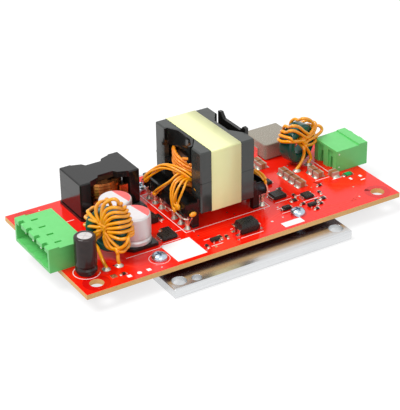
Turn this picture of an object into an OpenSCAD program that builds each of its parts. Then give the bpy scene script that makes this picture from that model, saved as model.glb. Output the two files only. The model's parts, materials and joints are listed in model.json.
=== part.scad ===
// Open frame power supply: a loaded circuit board on a machined aluminium heat plate.
// Origin: centre of the heat plate's lower face. +X runs along the board to the output
// header, +Z points up. Places on the board are given from the board's own centre.

/* [Heat plate] */
// Length of the heat plate along X
plate_len = 62.5; // [61:0.5:80]
// Width of the heat plate along Y
plate_w = 66.6; // [62:0.2:80]
// Thickness of the heat plate
plate_t = 3.2; // [2.5:0.1:8]
// Diameter of the four corner holes
plate_hole_d = 4.5; // [3:0.1:5]
// Distance from the plate's edges to the corner holes
plate_hole_inset = 3.6; // [3.2:0.1:4.5]
// Diameter of the earth screw hole
earth_hole_d = 3.2; // [2:0.1:3.6]
// Distance of the earth screw hole from the corner hole, along X
earth_hole_step = 5.2; // [4.6:0.1:12]
// Bevel on the plate's edges
plate_bevel = 0.3; // [0.1:0.05:0.8]

/* [Circuit board] */
// Length of the board along X
board_len = 110; // [109:0.5:140]
// Width of the board along Y
board_w = 53.4; // [52.8:0.2:70]
// Thickness of the board
board_t = 1.6; // [1:0.1:2.4]
// Space between the heat plate and the board
plate_gap = 1.5; // [1.4:0.1:4]
// Board centre from the plate centre, along X
board_shift = -0.75; // [-2:0.25:1]
// Diameter of the board's corner holes
board_hole_d = 4.3; // [3:0.1:4.6]
// Corner holes from the board's short edges
board_hole_x = 5.4; // [4:0.1:6]
// Corner holes from the board's long edges
board_hole_y = 4.3; // [3.5:0.1:4.8]
// Length of the pin ends below the board
pin_tail = 1; // [0.4:0.1:1.2]
// Clearance of a lead in its hole, on the radius
lead_gap = 0.12; // [0.05:0.01:0.2]
// Width of the tinned ring round a lead's hole
ring_w = 0.55; // [0.2:0.05:0.6]

/* [Screws] */
// Thread diameter of the board screws
screw_d = 2.5; // [2:0.1:3]
// Diameter of the screw heads
head_d = 4.6; // [4.2:0.1:5.2]
// Height of the screw heads
head_h = 1.8; // [1:0.1:2.4]
// Diameter of the spacers between board and plate
spacer_d = 4.6; // [4:0.1:5]

/* [Headers] */
// Contact spacing of the plug-in headers
header_pitch = 5.08; // [5:0.01:5.2]
// Poles of the input header
input_ways = 4; // [2:1:4]
// Poles of the output header
output_ways = 2; // [2:1:3]
// Depth of the header housings, mouth to back
header_depth = 12.1; // [11:0.1:13]
// Height of the header housings behind the lip
header_h = 7.4; // [7:0.1:9]
// Rise of the lip at the mouth
lip_rise = 0.45; // [0.2:0.05:0.8]
// Depth of the lip from the mouth
lip_depth = 3.4; // [2:0.1:4]
// How far the housings stand over the board's edge
overhang = 3.5; // [2:0.1:5]
// Side walls of the housings
header_end = 1; // [0.8:0.05:1.4]
// Floor of the housings
header_floor = 1.1; // [0.8:0.05:1.3]
// Roof of the housings
header_roof = 1.1; // [0.8:0.05:1.3]
// Depth of the sockets
socket_depth = 8.4; // [6:0.1:9]
// Side of the square contact pins
contact_w = 0.9; // [0.6:0.05:1]

/* [Transformer] */
// Core length along X
core_d = 19; // [18:0.1:20]
// Core width along Y
core_w = 26.5; // [26:0.1:27.5]
// Height of the two core halves together
core_h = 20.2; // [19:0.1:24]
// Diameter of the round centre post
post_d = 12; // [10:0.1:12.5]
// Diameter of the winding window
window_d = 22.5; // [21:0.1:23]
// Height of the winding window
window_h = 11.5; // [10:0.1:13]
// Opening between the outer legs
leg_opening = 16; // [14:0.1:16.2]
// Least depth of the core's plates, at the centre
core_waist = 12; // [11:0.1:14]
// Core's height above the board
core_stand = 4.5; // [3:0.1:6]
// Bevel on the core's edges
core_bevel = 0.4; // [0.2:0.05:0.8]
// Width of the tape round the core
tape_w = 10.4; // [8:0.1:11]
// Tape's place along X from the core's middle
tape_shift = -0.6; // [-0.8:0.1:0.8]
// Thickness of the tape's layers
tape_t = 0.15; // [0.05:0.05:0.3]
// Pin spacing of the bobbin
bobbin_pitch = 3.81; // [3.5:0.01:4]
// Diameter of the bobbin pins
bobbin_pin_d = 0.8; // [0.6:0.05:1]

/* [Choke] */
// Choke core length along X
choke_d = 20.5; // [19.5:0.1:21]
// Choke core width along Y
choke_w = 13.9; // [13.7:0.1:15]
// Choke height above the board
choke_h = 12.4; // [11:0.1:15]
// Thickness of the choke's foot
choke_foot = 0.9; // [0.6:0.1:1.5]
// Thickness of the choke core's plates
choke_plate = 2; // [1.5:0.1:2.5]
// Turns of the flat wire
strip_turns = 7; // [4:1:8]
// Thickness of the flat wire
strip_t = 0.8; // [0.5:0.05:0.85]
// Width of the flat wire
strip_w = 2.5; // [1.5:0.1:2.6]

/* [Toroids] */
// Outer diameter of the input toroid's core
input_core_d = 13.2; // [12:0.1:14.4]
// Outer diameter of the output toroid's core
output_core_d = 13; // [12:0.1:13.2]
// Hole diameter of the toroid cores
toroid_hole_d = 7.2; // [6.8:0.1:7.6]
// Thickness of the toroid cores
toroid_t = 4.8; // [4:0.1:5]
// Diameter of the enamelled wire
wire_d = 1.05; // [0.7:0.05:1.1]
// Turns on the input toroid
input_turns = 14; // [8:2:14]
// Turns on the output toroid
output_turns = 7; // [4:1:9]

/* [Capacitors] */
// Diameter of the radial capacitor
radial_d = 6.5; // [5:0.1:6.8]
// Height of the radial capacitor
radial_h = 12.2; // [8:0.1:16]
// Diameter of the surface mounted cans
can_d = 10; // [8:0.1:10.2]
// Height of the surface mounted cans
can_h = 10.2; // [7:0.1:13]
// Length of a ceramic capacitor
ceramic_l = 2.5; // [2:0.1:3]
// Width of a ceramic capacitor
ceramic_w = 2.6; // [1.6:0.1:2.8]
// Height of a ceramic capacitor
ceramic_h = 1.9; // [1:0.1:2.5]

/* [Moulded inductor] */
// Length along X
moulded_l = 13.2; // [12:0.1:13.4]
// Width along Y
moulded_w = 12.5; // [11:0.1:12.6]
// Height
moulded_h = 5.6; // [3:0.1:6.5]

/* [Hidden] */
$fn = 48;

eps = 0.01;
fit_gap = 0.05;
pad_t = 0.06;
board_z = plate_t + plate_gap;
top_z = board_z + board_t;
board_edge = board_len / 2;

// Board screws: two along the front edge, two at the back beside the transformer.
screw_spots = [[-28, -20.5], [20.8, -20.5], [-11.9, 19.6], [23.5, 20.3]];

// Plate corner holes and the earth hole beside the front left one.
plate_hole_x = plate_len / 2 - plate_hole_inset;
plate_hole_y = plate_w / 2 - plate_hole_inset;
earth_spot = [-plate_hole_x + earth_hole_step, -plate_hole_y - 1.2];

// Headers: centres along Y, contact height, back leg of each contact.
input_y = 0.35;
output_y = 0.95;
contact_z = 3.7;
contact_leg = header_depth - 2.3;

// Radial capacitor, cans, toroids, choke, transformer, moulded inductor.
radial_spot = [-49.3, -15.7];
radial_pitch = 2.5;
radial_lead_d = 0.5;
can_spots = [[-29.5, -8.7], [-29.8, 2.1]];
can_base = 10.3;
can_base_t = 1.2;
input_toroid = [-39.35, -11.1, 2.4 + input_core_d / 2];
input_toroid_turn = -150;
output_toroid = [39.7, 7.45, 1 + output_core_d / 2];
output_toroid_turn = -74;
choke_spot = [-26.55, 17.9];
choke_post_d = 7.6;
choke_gap_x = 13.3;
choke_window_d = 14.2;
strip_pitch = 1;
transformer_spot = [1.2, 1.4];
bobbin_pins = 7;
rail_in = core_d / 2 + 0.2;
rail_out = rail_in + 5;
rail_low = core_stand + 0.1;
rail_floor = 1.4;
tray_h = 4;
tray_len = 25.2;
tray_wall = 0.8;
pin_row = rail_out - 1.3;
pin_top = rail_low + 1;
collar_rise = 0.2;
foot_size = [2.2, 1.8];
foot_inset = 1.4;
moulded_spot = [38.1, 20.15];
opto_spot = [2.2, -20.5];

// Winding window of the transformer, from the board's top face.
window_low = core_stand + (core_h - window_h) / 2;
window_high = window_low + window_h;
flange_t = 0.8;
bobbin_low = window_low + 0.1;
bobbin_high = window_high - 0.1;

// Feet of the enamelled wires on the board. The output toroid's stand before its core.
winding_gap = 0.12;
wire_front = toroid_t / 2 + wire_d / 2 + winding_gap + 0.08;
function from_ring(q, place, turn) =
    [place.x + q.x * cos(turn) - q.y * sin(turn), place.y + q.x * sin(turn) + q.y * cos(turn)];
input_feet = [[-39.7, -17.6], [-43.8, -17.4]];
output_feet = [for (y = [-4.4, 1.4]) from_ring([wire_front + 0.5, y], output_toroid, output_toroid_turn)];

// Surface mounted parts: centre and turn, each placed by hand.
ceramic_spots = [
    [31.8, 3.4, 0], [31.8, 0.2, 0], [31.8, -3, 0], [31.8, -6.2, 0],
    [40.1, -0.95, 0], [40.1, -4.1, 0], [44.4, -6.4, 90], [28.3, 10.85, 0], [28.5, 13.8, 0]
];
chip_spots = [
    [-18.2, -7.1, 0, 3.2, 1.6], [-15.8, 0.4, 90, 3.2, 1.2], [24.4, -13.2, 0, 2, 1.25],
    [26.2, -10.6, 90, 1.6, 0.8], [48.5, -8.3, 0, 3.2, 1.6], [-6.9, -20, 90, 2, 1],
    [-5, -20.8, 90, 1.6, 0.8], [-12.8, -22.3, 90, 1.6, 0.8], [25.4, -16.6, 0, 1.6, 0.8],
    [30.2, -17, 90, 1.6, 0.8], [27.3, -21.3, 0, 1.6, 0.8], [30.2, -19.2, 0, 1.6, 0.8],
    [34, -13.3, 90, 1.6, 0.8], [32.6, -16.9, 0, 2, 1.25], [-41, -22.5, 0, 1.6, 0.8],
    [24.6, -4.6, 0, 1.6, 0.8], [36.6, -9.5, 0, 1.6, 0.8]
];
control_spots = [[21.6, -8.2, 4.4, 3.9, 1.2], [29.3, -13.2, 3.2, 3.2, 1], [22.9, 1, 3.9, 3.2, 1.1],
    [-19.9, -11.2, 4.9, 3.9, 1.4]];
diode_spots = [[19.4, -16.4, 0, 2.7, 1.6, 1.1], [-18.9, 0.1, 0, 3, 4.4, 1.9],
    [-18.6, 7.2, 0, 3.2, 3.4, 2.1]];
transistor_spots = [[-9.1, -20.6, 0], [27.3, -18.8, 0]];

function unit(v) = v / norm(v);
function rim(r, n) = [for (k = [0:n - 1]) [r * cos(360 * k / n), r * sin(360 * k / n)]];
function along(n, pitch, i) = (i - (n - 1) / 2) * pitch;
function tangent(p, i) = unit(p[min(i + 1, len(p) - 1)] - p[max(i - 1, 0)]);
function square_to(n, t) = unit(n - (n * t) * t);
function bend(a, b, c, n) =
    [for (k = [0:n]) let (t = k / n) (1 - t) * (1 - t) * a + 2 * t * (1 - t) * b + t * t * c];

// Corner points of a rectangle with round corners, centred.
function round_rect(w, h, r, n = 4) = [
    for (q = [0:3]) let (sx = (q == 0 || q == 3) ? 1 : -1, sy = (q < 2) ? 1 : -1)
        for (k = [0:n]) let (a = 90 * q + 90 * k / n)
            [sx * (w / 2 - r) + r * cos(a), sy * (h / 2 - r) + r * sin(a)]
];

// Rectangle with bevelled corners, centred.
function bevel_rect(w, h, c) = [
    [w / 2, h / 2 - c], [w / 2 - c, h / 2], [c - w / 2, h / 2], [-w / 2, h / 2 - c],
    [-w / 2, c - h / 2], [c - w / 2, -h / 2], [w / 2 - c, -h / 2], [w / 2, c - h / 2]
];

// Sweeps a section along points. The section turns as little as it can.
module sweep(p, section, start = [0, 0, 1]) {
    m = len(section);
    last = len(p) - 1;
    side = [
        for (i = 0, v = square_to(start, tangent(p, 0)); i <= last;
             i = i + 1, v = square_to(v, tangent(p, min(i, last)))) v
    ];
    points = [
        for (i = [0:last]) let (t = tangent(p, i), u = side[i], w = cross(t, u))
            for (q = section) p[i] + q.x * u + q.y * w
    ];
    walls = [
        for (i = [0:last - 1]) for (k = [0:m - 1])
            [i * m + k, (i + 1) * m + k, (i + 1) * m + (k + 1) % m, i * m + (k + 1) % m]
    ];
    ends = [[for (k = [0:m - 1]) k], [for (k = [m - 1:-1:0]) last * m + k]];
    polyhedron(points, concat(ends, walls), convexity = 10);
}

// Box with bevelled edges: length, width, height, bevel. Its foot is at z = 0.
module bevel_box(l, w, h, c) {
    intersection() {
        translate([-l / 2, 0, h / 2]) rotate([90, 0, 90]) linear_extrude(l) polygon(bevel_rect(w, h, c));
        translate([0, w / 2, h / 2]) rotate([90, 0, 0]) linear_extrude(w) polygon(bevel_rect(l, h, c));
        linear_extrude(h) polygon(bevel_rect(l, w, c));
    }
}

// Moulded package: drafted sides that meet at a parting line at half height.
module package(l, w, h, draft) {
    intersection() {
        translate([-l / 2, 0, 0]) rotate([90, 0, 90]) linear_extrude(l)
            polygon(drafted(w, h, draft));
        translate([0, w / 2, 0]) rotate([90, 0, 0]) linear_extrude(w)
            polygon(drafted(l, h, draft));
    }
}

function drafted(w, h, d) = [
    [-w / 2 + d, 0], [w / 2 - d, 0], [w / 2, h / 2], [w / 2 - d, h], [-w / 2 + d, h], [-w / 2, h / 2]
];

// Gull-wing lead from a package's side at x = 0, with its foot on the board.
module gull_lead(run, top, w, t) {
    translate([0, w / 2, 0]) rotate([90, 0, 0]) linear_extrude(w) polygon([
        [0, top - t], [0, top], [0.35 + t, top], [0.35 + t, t], [run, t], [run, 0],
        [0.35, 0], [0.35, top - t]
    ]);
}

module on_board() {
    translate([board_shift, 0, top_z]) children();
}

module at(spot) {
    on_board() translate([spot.x, spot.y, 0]) children();
}

// ---- heat plate, board and what joins them ----

module heat_plate() {
    color([0.8, 0.81, 0.82]) difference() {
        bevel_box(plate_len, plate_w, plate_t, plate_bevel);
        for (sx = [-1, 1], sy = [-1, 1])
            translate([sx * plate_hole_x, sy * plate_hole_y, -1])
                cylinder(d = plate_hole_d, h = plate_t + 2);
        translate([earth_spot.x, earth_spot.y, -1]) cylinder(d = earth_hole_d, h = plate_t + 2);
        for (s = screw_spots)
            translate([s.x + board_shift, s.y, -1])
                cylinder(d = screw_d + 2 * fit_gap, h = plate_t + 2);
    }
}

function header_feet(ways, centre, side) = [
    for (i = [0:ways - 1])
        [side * (board_edge + overhang - contact_leg), centre + along(ways, header_pitch, i)]
];
// The middle place of each pin row is empty.
function pin_places() = [for (i = [0:bobbin_pins - 1]) if (i != floor(bobbin_pins / 2))
    along(bobbin_pins, bobbin_pitch, i)];
function bobbin_feet() = [
    for (side = [-1, 1], y = pin_places()) [transformer_spot.x + side * pin_row, transformer_spot.y + y]
];

// Every lead hole in the board: place and drill diameter.
function round_drill(d) = d + 2 * lead_gap;
function lead_holes() = concat(
    [for (f = header_feet(input_ways, input_y, -1)) [f, round_drill(contact_w * sqrt(2))]],
    [for (f = header_feet(output_ways, output_y, 1)) [f, round_drill(contact_w * sqrt(2))]],
    [for (f = bobbin_feet()) [f, round_drill(bobbin_pin_d)]],
    [for (f = concat(input_feet, output_feet)) [f, round_drill(wire_d)]],
    [for (s = [-1, 1]) [[radial_spot.x, radial_spot.y + s * radial_pitch / 2],
        round_drill(radial_lead_d)]]
);

module circuit_board() {
    color([0.85, 0.05, 0.02]) on_board() translate([0, 0, -board_t]) difference() {
        translate([-board_len / 2, -board_w / 2, 0]) cube([board_len, board_w, board_t]);
        for (sx = [-1, 1], sy = [-1, 1])
            translate([sx * (board_edge - board_hole_x), sy * (board_w / 2 - board_hole_y), -1])
                cylinder(d = board_hole_d, h = board_t + 2);
        for (s = screw_spots)
            translate([s.x, s.y, -1]) cylinder(d = screw_d + 0.4, h = board_t + 2);
        for (h = lead_holes())
            translate([h[0].x, h[0].y, -1]) cylinder(d = h[1], h = board_t + 2, $fn = 24);
        for (x = strip_feet())
            translate([x - strip_slot / 2, choke_spot.y + strip_out - strip_t / 2 - lead_gap, -1])
                cube([strip_slot, strip_t + 2 * lead_gap, board_t + 2]);
    }
}

module tinned_pads() {
    color([0.86, 0.86, 0.82]) on_board() for (h = lead_holes())
        for (z = [0, -board_t - pad_t])
            translate([h[0].x, h[0].y, z]) difference() {
                cylinder(d = h[1] + 2 * ring_w, h = pad_t, $fn = 24);
                translate([0, 0, -1]) cylinder(d = h[1], h = 2, $fn = 24);
            }
}

module board_screws() {
    color([0.75, 0.8, 0.85]) for (s = screw_spots) at(s) difference() {
        union() {
            rotate_extrude() polygon([
                [0, 0], [head_d / 2, 0], [head_d / 2, head_h * 0.45], [head_d * 0.44, head_h * 0.75],
                [head_d * 0.33, head_h * 0.95], [0, head_h]
            ]);
            translate([0, 0, 0.5 - top_z]) cylinder(d = screw_d, h = top_z - 0.5 + eps);
        }
        for (a = [0, 90]) rotate(a)
            translate([-head_d * 0.28, -0.3, head_h * 0.35]) cube([head_d * 0.56, 0.6, head_h]);
    }
}

module spacers() {
    color([0.7, 0.7, 0.7]) for (s = screw_spots)
        translate([s.x + board_shift, s.y, plate_t]) difference() {
            cylinder(d = spacer_d, h = plate_gap);
            translate([0, 0, -1]) cylinder(d = screw_d + 0.4, h = plate_gap + 2);
        }
}

// Flat power transistors under the board, pressed on a soft pad.
transistor_l = 6;
transistor_w = 5;
transistor_h = 1;
transistor_x = [-5, 6];
transistor_y = [-2, 12];
pad_margin = [1, 1.5];
module power_transistors() {
    color([0.15, 0.15, 0.15]) for (x = transistor_x, y = transistor_y)
        translate([transformer_spot.x + board_shift + x, y, board_z - transistor_h])
            bevel_box(transistor_l, transistor_w, transistor_h, 0.1);
}

module thermal_pad() {
    color([0.6, 0.65, 0.7])
        translate([
            transformer_spot.x + board_shift + transistor_x[0] - transistor_l / 2 - pad_margin.x,
            transistor_y[0] - transistor_w / 2 - pad_margin.y, plate_t
        ]) cube([
            transistor_x[1] - transistor_x[0] + transistor_l + 2 * pad_margin.x,
            transistor_y[1] - transistor_y[0] + transistor_w + 2 * pad_margin.y, plate_gap - transistor_h
        ]);
}

// ---- plug-in headers: mouth at x = 0, back at x = header_depth ----

module header_housing(ways, slots) {
    inner = ways * header_pitch;
    width = inner + 2 * header_end;
    ceiling = header_h - header_roof;
    difference() {
        union() {
            translate([0, -width / 2, 0]) cube([header_depth, width, header_h]);
            translate([0, width / 2, header_h - eps]) rotate([90, 0, 0]) linear_extrude(width)
                polygon([[0, 0], [lip_depth + 0.1, 0], [lip_depth, lip_rise + eps], [0.25, lip_rise + eps],
                    [0, lip_rise - 0.2]]);
        }
        translate([-1, -inner / 2, header_floor]) cube([socket_depth + 1, inner, ceiling - header_floor]);
        for (i = [0:ways - 1]) translate([0, along(ways, header_pitch, i), 0]) {
            translate([-1, 0, header_floor + 2.3]) rotate([0, 90, 0])
                cylinder(r = 2.7, h = socket_depth + 0.4);
            translate([-1, -0.8, ceiling - 0.5]) cube([2.5, 1.6, 4]);
            if (slots) translate([lip_depth + 0.1, -0.4, header_h - 0.5]) cube([2.4, 0.8, 1]);
            translate([header_depth - 0.6, -1.3, -1]) cube([1, 2.6, header_h]);
            translate([contact_leg, 0, -1])
                cylinder(d = round_drill(contact_w * sqrt(2)) + 2 * ring_w + 0.2, h = 1.05 + pad_t);
            translate([contact_leg - contact_w / 2 - fit_gap, -contact_w / 2 - fit_gap, -1])
                cube([4, contact_w + 2 * fit_gap, contact_z + contact_w / 2 + 1 + fit_gap]);
            translate([socket_depth - 1, -contact_w / 2 - fit_gap, contact_z - contact_w / 2 - fit_gap])
                cube([contact_leg - socket_depth + 1.2, contact_w + 2 * fit_gap, contact_w + 2 * fit_gap]);
        }
    }
}

module header_contacts(ways) {
    for (i = [0:ways - 1]) translate([0, along(ways, header_pitch, i), 0]) {
        difference() {
            translate([1.6, -contact_w / 2, contact_z - contact_w / 2])
                cube([contact_leg + contact_w / 2 - 1.6, contact_w, contact_w]);
            for (s = [0, 180]) translate([1.6, 0, contact_z]) rotate([s, 0, 0])
                translate([0, 0, contact_w / 2]) rotate([0, 45, 0]) cube([0.5, 2, 0.5], center = true);
        }
        translate([contact_leg - contact_w / 2, -contact_w / 2, -board_t - pin_tail])
            cube([contact_w, contact_w, contact_z + board_t + pin_tail]);
    }
}

module input_side() {
    on_board() translate([-board_edge - overhang, input_y, 0]) children();
}

module output_side() {
    on_board() translate([board_edge + overhang, output_y, 0]) mirror([1, 0, 0]) children();
}

module input_header() {
    color([0.35, 0.75, 0.4]) input_side() header_housing(input_ways, true);
}

module input_contacts() {
    color([0.85, 0.85, 0.8]) input_side() header_contacts(input_ways);
}

module output_header() {
    color([0.35, 0.75, 0.4]) output_side() header_housing(output_ways, false);
}

module output_contacts() {
    color([0.85, 0.85, 0.8]) output_side() header_contacts(output_ways);
}

// ---- electrolytic capacitors ----

radial_bung_h = 0.9;
radial_skin = 0.15;

// Can outline: a rolled groove near the foot and a round shoulder at the top.
function can_outline(r, low, high, groove, shoulder) = concat(
    [[0, low], [r - 0.2, low], [r, low + 0.2], [r, low + 1.1], [r - groove, low + 1.6],
     [r - groove, low + 1.9], [r, low + 2.4]],
    [for (k = [0:4]) [r - shoulder + shoulder * cos(22.5 * k), high - shoulder + shoulder * sin(22.5 * k)]],
    [[0, high]]
);

module radial_capacitor_can() {
    color([0.85, 0.85, 0.85]) at(radial_spot) difference() {
        rotate_extrude() polygon(can_outline(radial_d / 2 - radial_skin, radial_bung_h,
            radial_h - radial_skin, 0.3, 0.5));
        for (a = [45, 135]) rotate(a)
            translate([-radial_d * 0.3, -0.12, radial_h - radial_skin - 0.15]) cube([radial_d * 0.6, 0.24, 1]);
    }
}

module radial_capacitor_sleeve() {
    color([0.2, 0.17, 0.17]) at(radial_spot) difference() {
        rotate_extrude() polygon(can_outline(radial_d / 2, radial_bung_h - radial_skin, radial_h, 0.3, 0.6));
        rotate_extrude() polygon(can_outline(radial_d / 2 - radial_skin, radial_bung_h,
            radial_h - radial_skin, 0.3, 0.5));
        translate([0, 0, radial_h - 1]) cylinder(d = radial_d * 0.68, h = 2);
        translate([0, 0, -1]) cylinder(d = radial_d * 0.8, h = radial_bung_h + 1 + eps);
    }
}

module radial_capacitor_bung() {
    color([0.1, 0.1, 0.1]) at(radial_spot) difference() {
        translate([0, 0, pad_t + 0.04]) cylinder(d = radial_d * 0.8, h = radial_bung_h - pad_t - 0.04);
        for (s = [-1, 1]) translate([0, s * radial_pitch / 2, -1])
            cylinder(d = radial_lead_d + 2 * fit_gap, h = radial_bung_h + 2, $fn = 24);
    }
}

module radial_capacitor_leads() {
    color([0.85, 0.85, 0.8]) at(radial_spot) for (s = [-1, 1])
        translate([0, s * radial_pitch / 2, -board_t - pin_tail])
            cylinder(d = radial_lead_d, h = board_t + pin_tail + radial_bung_h, $fn = 24);
}

module can_capacitors() {
    color([0.88, 0.88, 0.88]) for (s = can_spots) at(s) rotate_extrude()
        polygon(can_outline(can_d / 2, can_base_t, can_h, 0.35, 0.5));
}

module can_capacitor_bases() {
    cut = 2;
    half = can_base / 2;
    color([0.12, 0.12, 0.12]) for (s = can_spots) at(s) difference() {
        translate([0, 0, 0.15]) linear_extrude(can_base_t - 0.15) polygon([
            [half, -half], [half, half], [cut - half, half], [-half, half - cut],
            [-half, cut - half], [cut - half, -half]
        ]);
        for (side = [-1, 1]) translate([side * half - 2, -0.65, -1]) cube([4, 1.3, 1.35]);
    }
}

module can_capacitor_tabs() {
    color([0.85, 0.85, 0.8]) for (s = can_spots) at(s) for (side = [-1, 1])
        translate([side * (can_base / 2 - 0.7) - 1.2, -0.6, 0]) cube([2.4, 1.2, 0.15]);
}

// ---- toroids: ring stands upright, axis along its own x ----

module stand_ring(place, turn) {
    on_board() translate(place) rotate([0, 0, turn]) children();
}

module toroid_core(d) {
    mid = (d + toroid_hole_d) / 4;
    rotate([0, 90, 0]) rotate_extrude($fn = 64)
        translate([mid, 0]) polygon(round_rect((d - toroid_hole_d) / 2, toroid_t, 0.8));
}

// Point of a winding: turn angle a round the ring, angle s round the ring's section.
function wound(d, a, s, inner) =
    let (half = wire_d / 2 + winding_gap,
         outer = d / 2 + half,
         bore = toroid_hole_d / 2 - half - inner,
         deep = toroid_t / 2 + half,
         c = sign(cos(s)) * sqrt(abs(cos(s))),
         e = sign(sin(s)) * sqrt(abs(sin(s))),
         r = (outer + bore) / 2 + c * (outer - bore) / 2)
    [deep * e, r * cos(a), r * sin(a)];

ring_steps = 16;

// A turn runs straight through the hole and moves on round the ring on the outside.
function moved_on(n) = let (m = n - 0.5, f = m - floor(m))
    floor(m) + min(max((f - 0.22) / 0.56, 0), 1) + 0.5;

// Every second turn lies in a lower layer inside the hole. The path starts on the ring's
// outside for start = 0 and in its hole for start = 0.5.
function winding_path(d, turns, first, last, layer, start) = [
    for (k = [0:turns * ring_steps])
        let (n = start + k / ring_steps, a = first + (last - first) * (moved_on(n) - start) / turns,
             low = (floor(n + 0.5) % 2 == 1) ? layer : 0)
        wound(d, a, 360 * n, max(-cos(360 * n), 0) * low)
];

function to_ring(p, place, turn) =
    let (q = p - place) [q.x * cos(turn) + q.y * sin(turn), q.y * cos(turn) - q.x * sin(turn), q.z];

// The way from a foot to the winding's end: round the outside, or before the core into its hole.
function lead_way(foot, end, start) = start > 0
    ? through([foot + [0, 0, 1.2], [wire_front + 0.1, foot.y * 0.5, -4], [wire_front, end.y * 0.3, -1.6],
        [wire_front - 0.6, end.y * 0.7, end.z - 0.6], [toroid_t / 4, end.y, end.z], end], 3)
    : bend(foot + [0, 0, 1], [min(foot.x, wire_front + 0.4), end.y * 1.04, end.z * 1.08], end, 6);
function backwards(p) = [for (k = [len(p) - 1:-1:0]) p[k]];

// A winding with its two ends led down through the board at the feet.
module toroid_winding(d, turns, first, last, layer, start, place, turn, feet) {
    path = winding_path(d, turns, first, last, layer, start);
    low = [for (f = feet) to_ring([f.x, f.y, -board_t - pin_tail], place, turn)];
    high = [for (f = feet) to_ring([f.x, f.y, 0.6], place, turn)];
    route = concat(
        [low[0], high[0]], lead_way(high[0], path[0], start), [for (k = [1:len(path) - 2]) path[k]],
        backwards(lead_way(high[1], path[len(path) - 1], start)), [high[1], low[1]]
    );
    sweep(route, rim(wire_d / 2, 8), [0, 1, 0]);
}

// Where the windings begin and end round their rings, and the depth of the lower layer.
input_wound = [-40, 230];
output_wound = [168, 12];
lower_layer = 1.25;

module input_toroid_core() {
    color([0.05, 0.35, 0.3]) stand_ring(input_toroid, input_toroid_turn) toroid_core(input_core_d);
}

module input_toroid_winding() {
    color([0.95, 0.6, 0.15]) stand_ring(input_toroid, input_toroid_turn)
        toroid_winding(input_core_d, input_turns, input_wound[0], input_wound[1], lower_layer, 0,
            input_toroid, input_toroid_turn, input_feet);
}

module output_toroid_core() {
    color([0.05, 0.35, 0.3]) stand_ring(output_toroid, output_toroid_turn) toroid_core(output_core_d);
}

module output_toroid_winding() {
    color([0.95, 0.6, 0.15]) stand_ring(output_toroid, output_toroid_turn)
        toroid_winding(output_core_d, output_turns, output_wound[0], output_wound[1], 0, 0.5,
            output_toroid, output_toroid_turn, output_feet);
}

// ---- choke with an edge-wound flat wire ----

choke_mid = choke_foot + (choke_h - choke_foot) / 2;
strip_r = choke_post_d / 2 + 0.3 + strip_w / 2;
strip_low = choke_foot + choke_plate + 0.15;
strip_out = -choke_w / 2 + 0.35;
strip_slot = strip_w + 2 * lead_gap;
strip_side = 4.7;
function strip_feet() = [choke_spot.x - strip_side, choke_spot.x + strip_side];

// Plan of the choke's plates, stepped in at the middle of both long sides.
module choke_plan() {
    half = choke_w / 2;
    side = [[10.25, 6.95], [6.9, 6.95], [6.3, 6.2], [3.4, 5.2], [2.6, 3.9]];
    quarter = [for (p = side) [p.x - 10.25 + choke_d / 2, p.y - 6.95 + half]];
    turned = [for (k = [len(quarter) - 1:-1:0]) quarter[k]];
    polygon(concat(
        quarter, [for (p = turned) [-p.x, p.y]],
        [for (p = quarter) [-p.x, -p.y]], [for (p = turned) [p.x, -p.y]]
    ));
}

module choke_half() {
    tall = choke_mid - choke_foot;
    intersection() {
        union() {
            linear_extrude(choke_plate) choke_plan();
            cylinder(d = choke_post_d, h = tall);
            difference() {
                translate([-choke_d / 2, -choke_w / 2, 0]) cube([choke_d, choke_w, tall]);
                translate([0, 0, -1]) cylinder(d = choke_window_d, h = tall + 2);
                translate([-choke_gap_x / 2, -choke_w, -1]) cube([choke_gap_x, choke_w * 2, tall + 2]);
            }
        }
        bevel_box(choke_d, choke_w, 2 * tall, 0.35);
    }
}

module choke_lower_core() {
    color([0.3, 0.3, 0.3]) at(choke_spot) translate([0, 0, choke_foot]) choke_half();
}

module choke_upper_core() {
    color([0.4, 0.4, 0.4]) at(choke_spot) translate([0, 0, choke_h]) mirror([0, 0, 1]) choke_half();
}

module choke_foot_plate() {
    color([0.15, 0.15, 0.15]) at(choke_spot) difference() {
        linear_extrude(choke_foot) polygon(bevel_rect(choke_d + 0.5, choke_w + 1.5, 0.8));
        for (x = [-strip_side, strip_side])
            translate([x - strip_slot / 2, strip_out - strip_t / 2 - lead_gap, -1])
                cube([strip_slot, strip_t + 2 * lead_gap, 3]);
    }
}

module choke_winding() {
    steps = 24;
    path = [
        for (k = [0:strip_turns * steps]) let (a = 360 * k / steps - 90)
            [strip_r * cos(a), strip_r * sin(a), strip_low + strip_t / 2 + strip_pitch * k / steps]
    ];
    section = [[-strip_t / 2, -strip_w / 2], [strip_t / 2, -strip_w / 2],
        [strip_t / 2, strip_w / 2], [-strip_t / 2, strip_w / 2]];
    color([0.8, 0.45, 0.2]) at(choke_spot) intersection() {
        sweep(path, section, [0, 0, 1]);
        linear_extrude(choke_h - choke_plate - 0.1) square(2 * choke_d, center = true);
    }
}

module choke_terminals() {
    tops = [5.2, 8.4];
    color([0.85, 0.5, 0.25]) at(choke_spot) for (i = [0, 1])
        translate([(i == 0 ? -1 : 1) * strip_side - strip_w / 2, strip_out - strip_t / 2, -board_t - pin_tail])
            cube([strip_w, strip_t, tops[i] + board_t + pin_tail]);
}

// ---- transformer: two core halves on a round centre post ----

// Notch between the legs, cut to the waist; inset makes it smaller all round.
module core_notch(side, inset) {
    half = leg_opening / 2 - inset;
    deep = core_waist / 2 + inset;
    scale([side, 1]) polygon([
        [core_d / 2 + 1, half], [core_d / 2 - 0.6, half], [deep, half * 0.5],
        [deep, -half * 0.5], [core_d / 2 - 0.6, -half], [core_d / 2 + 1, -half]
    ]);
}

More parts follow.
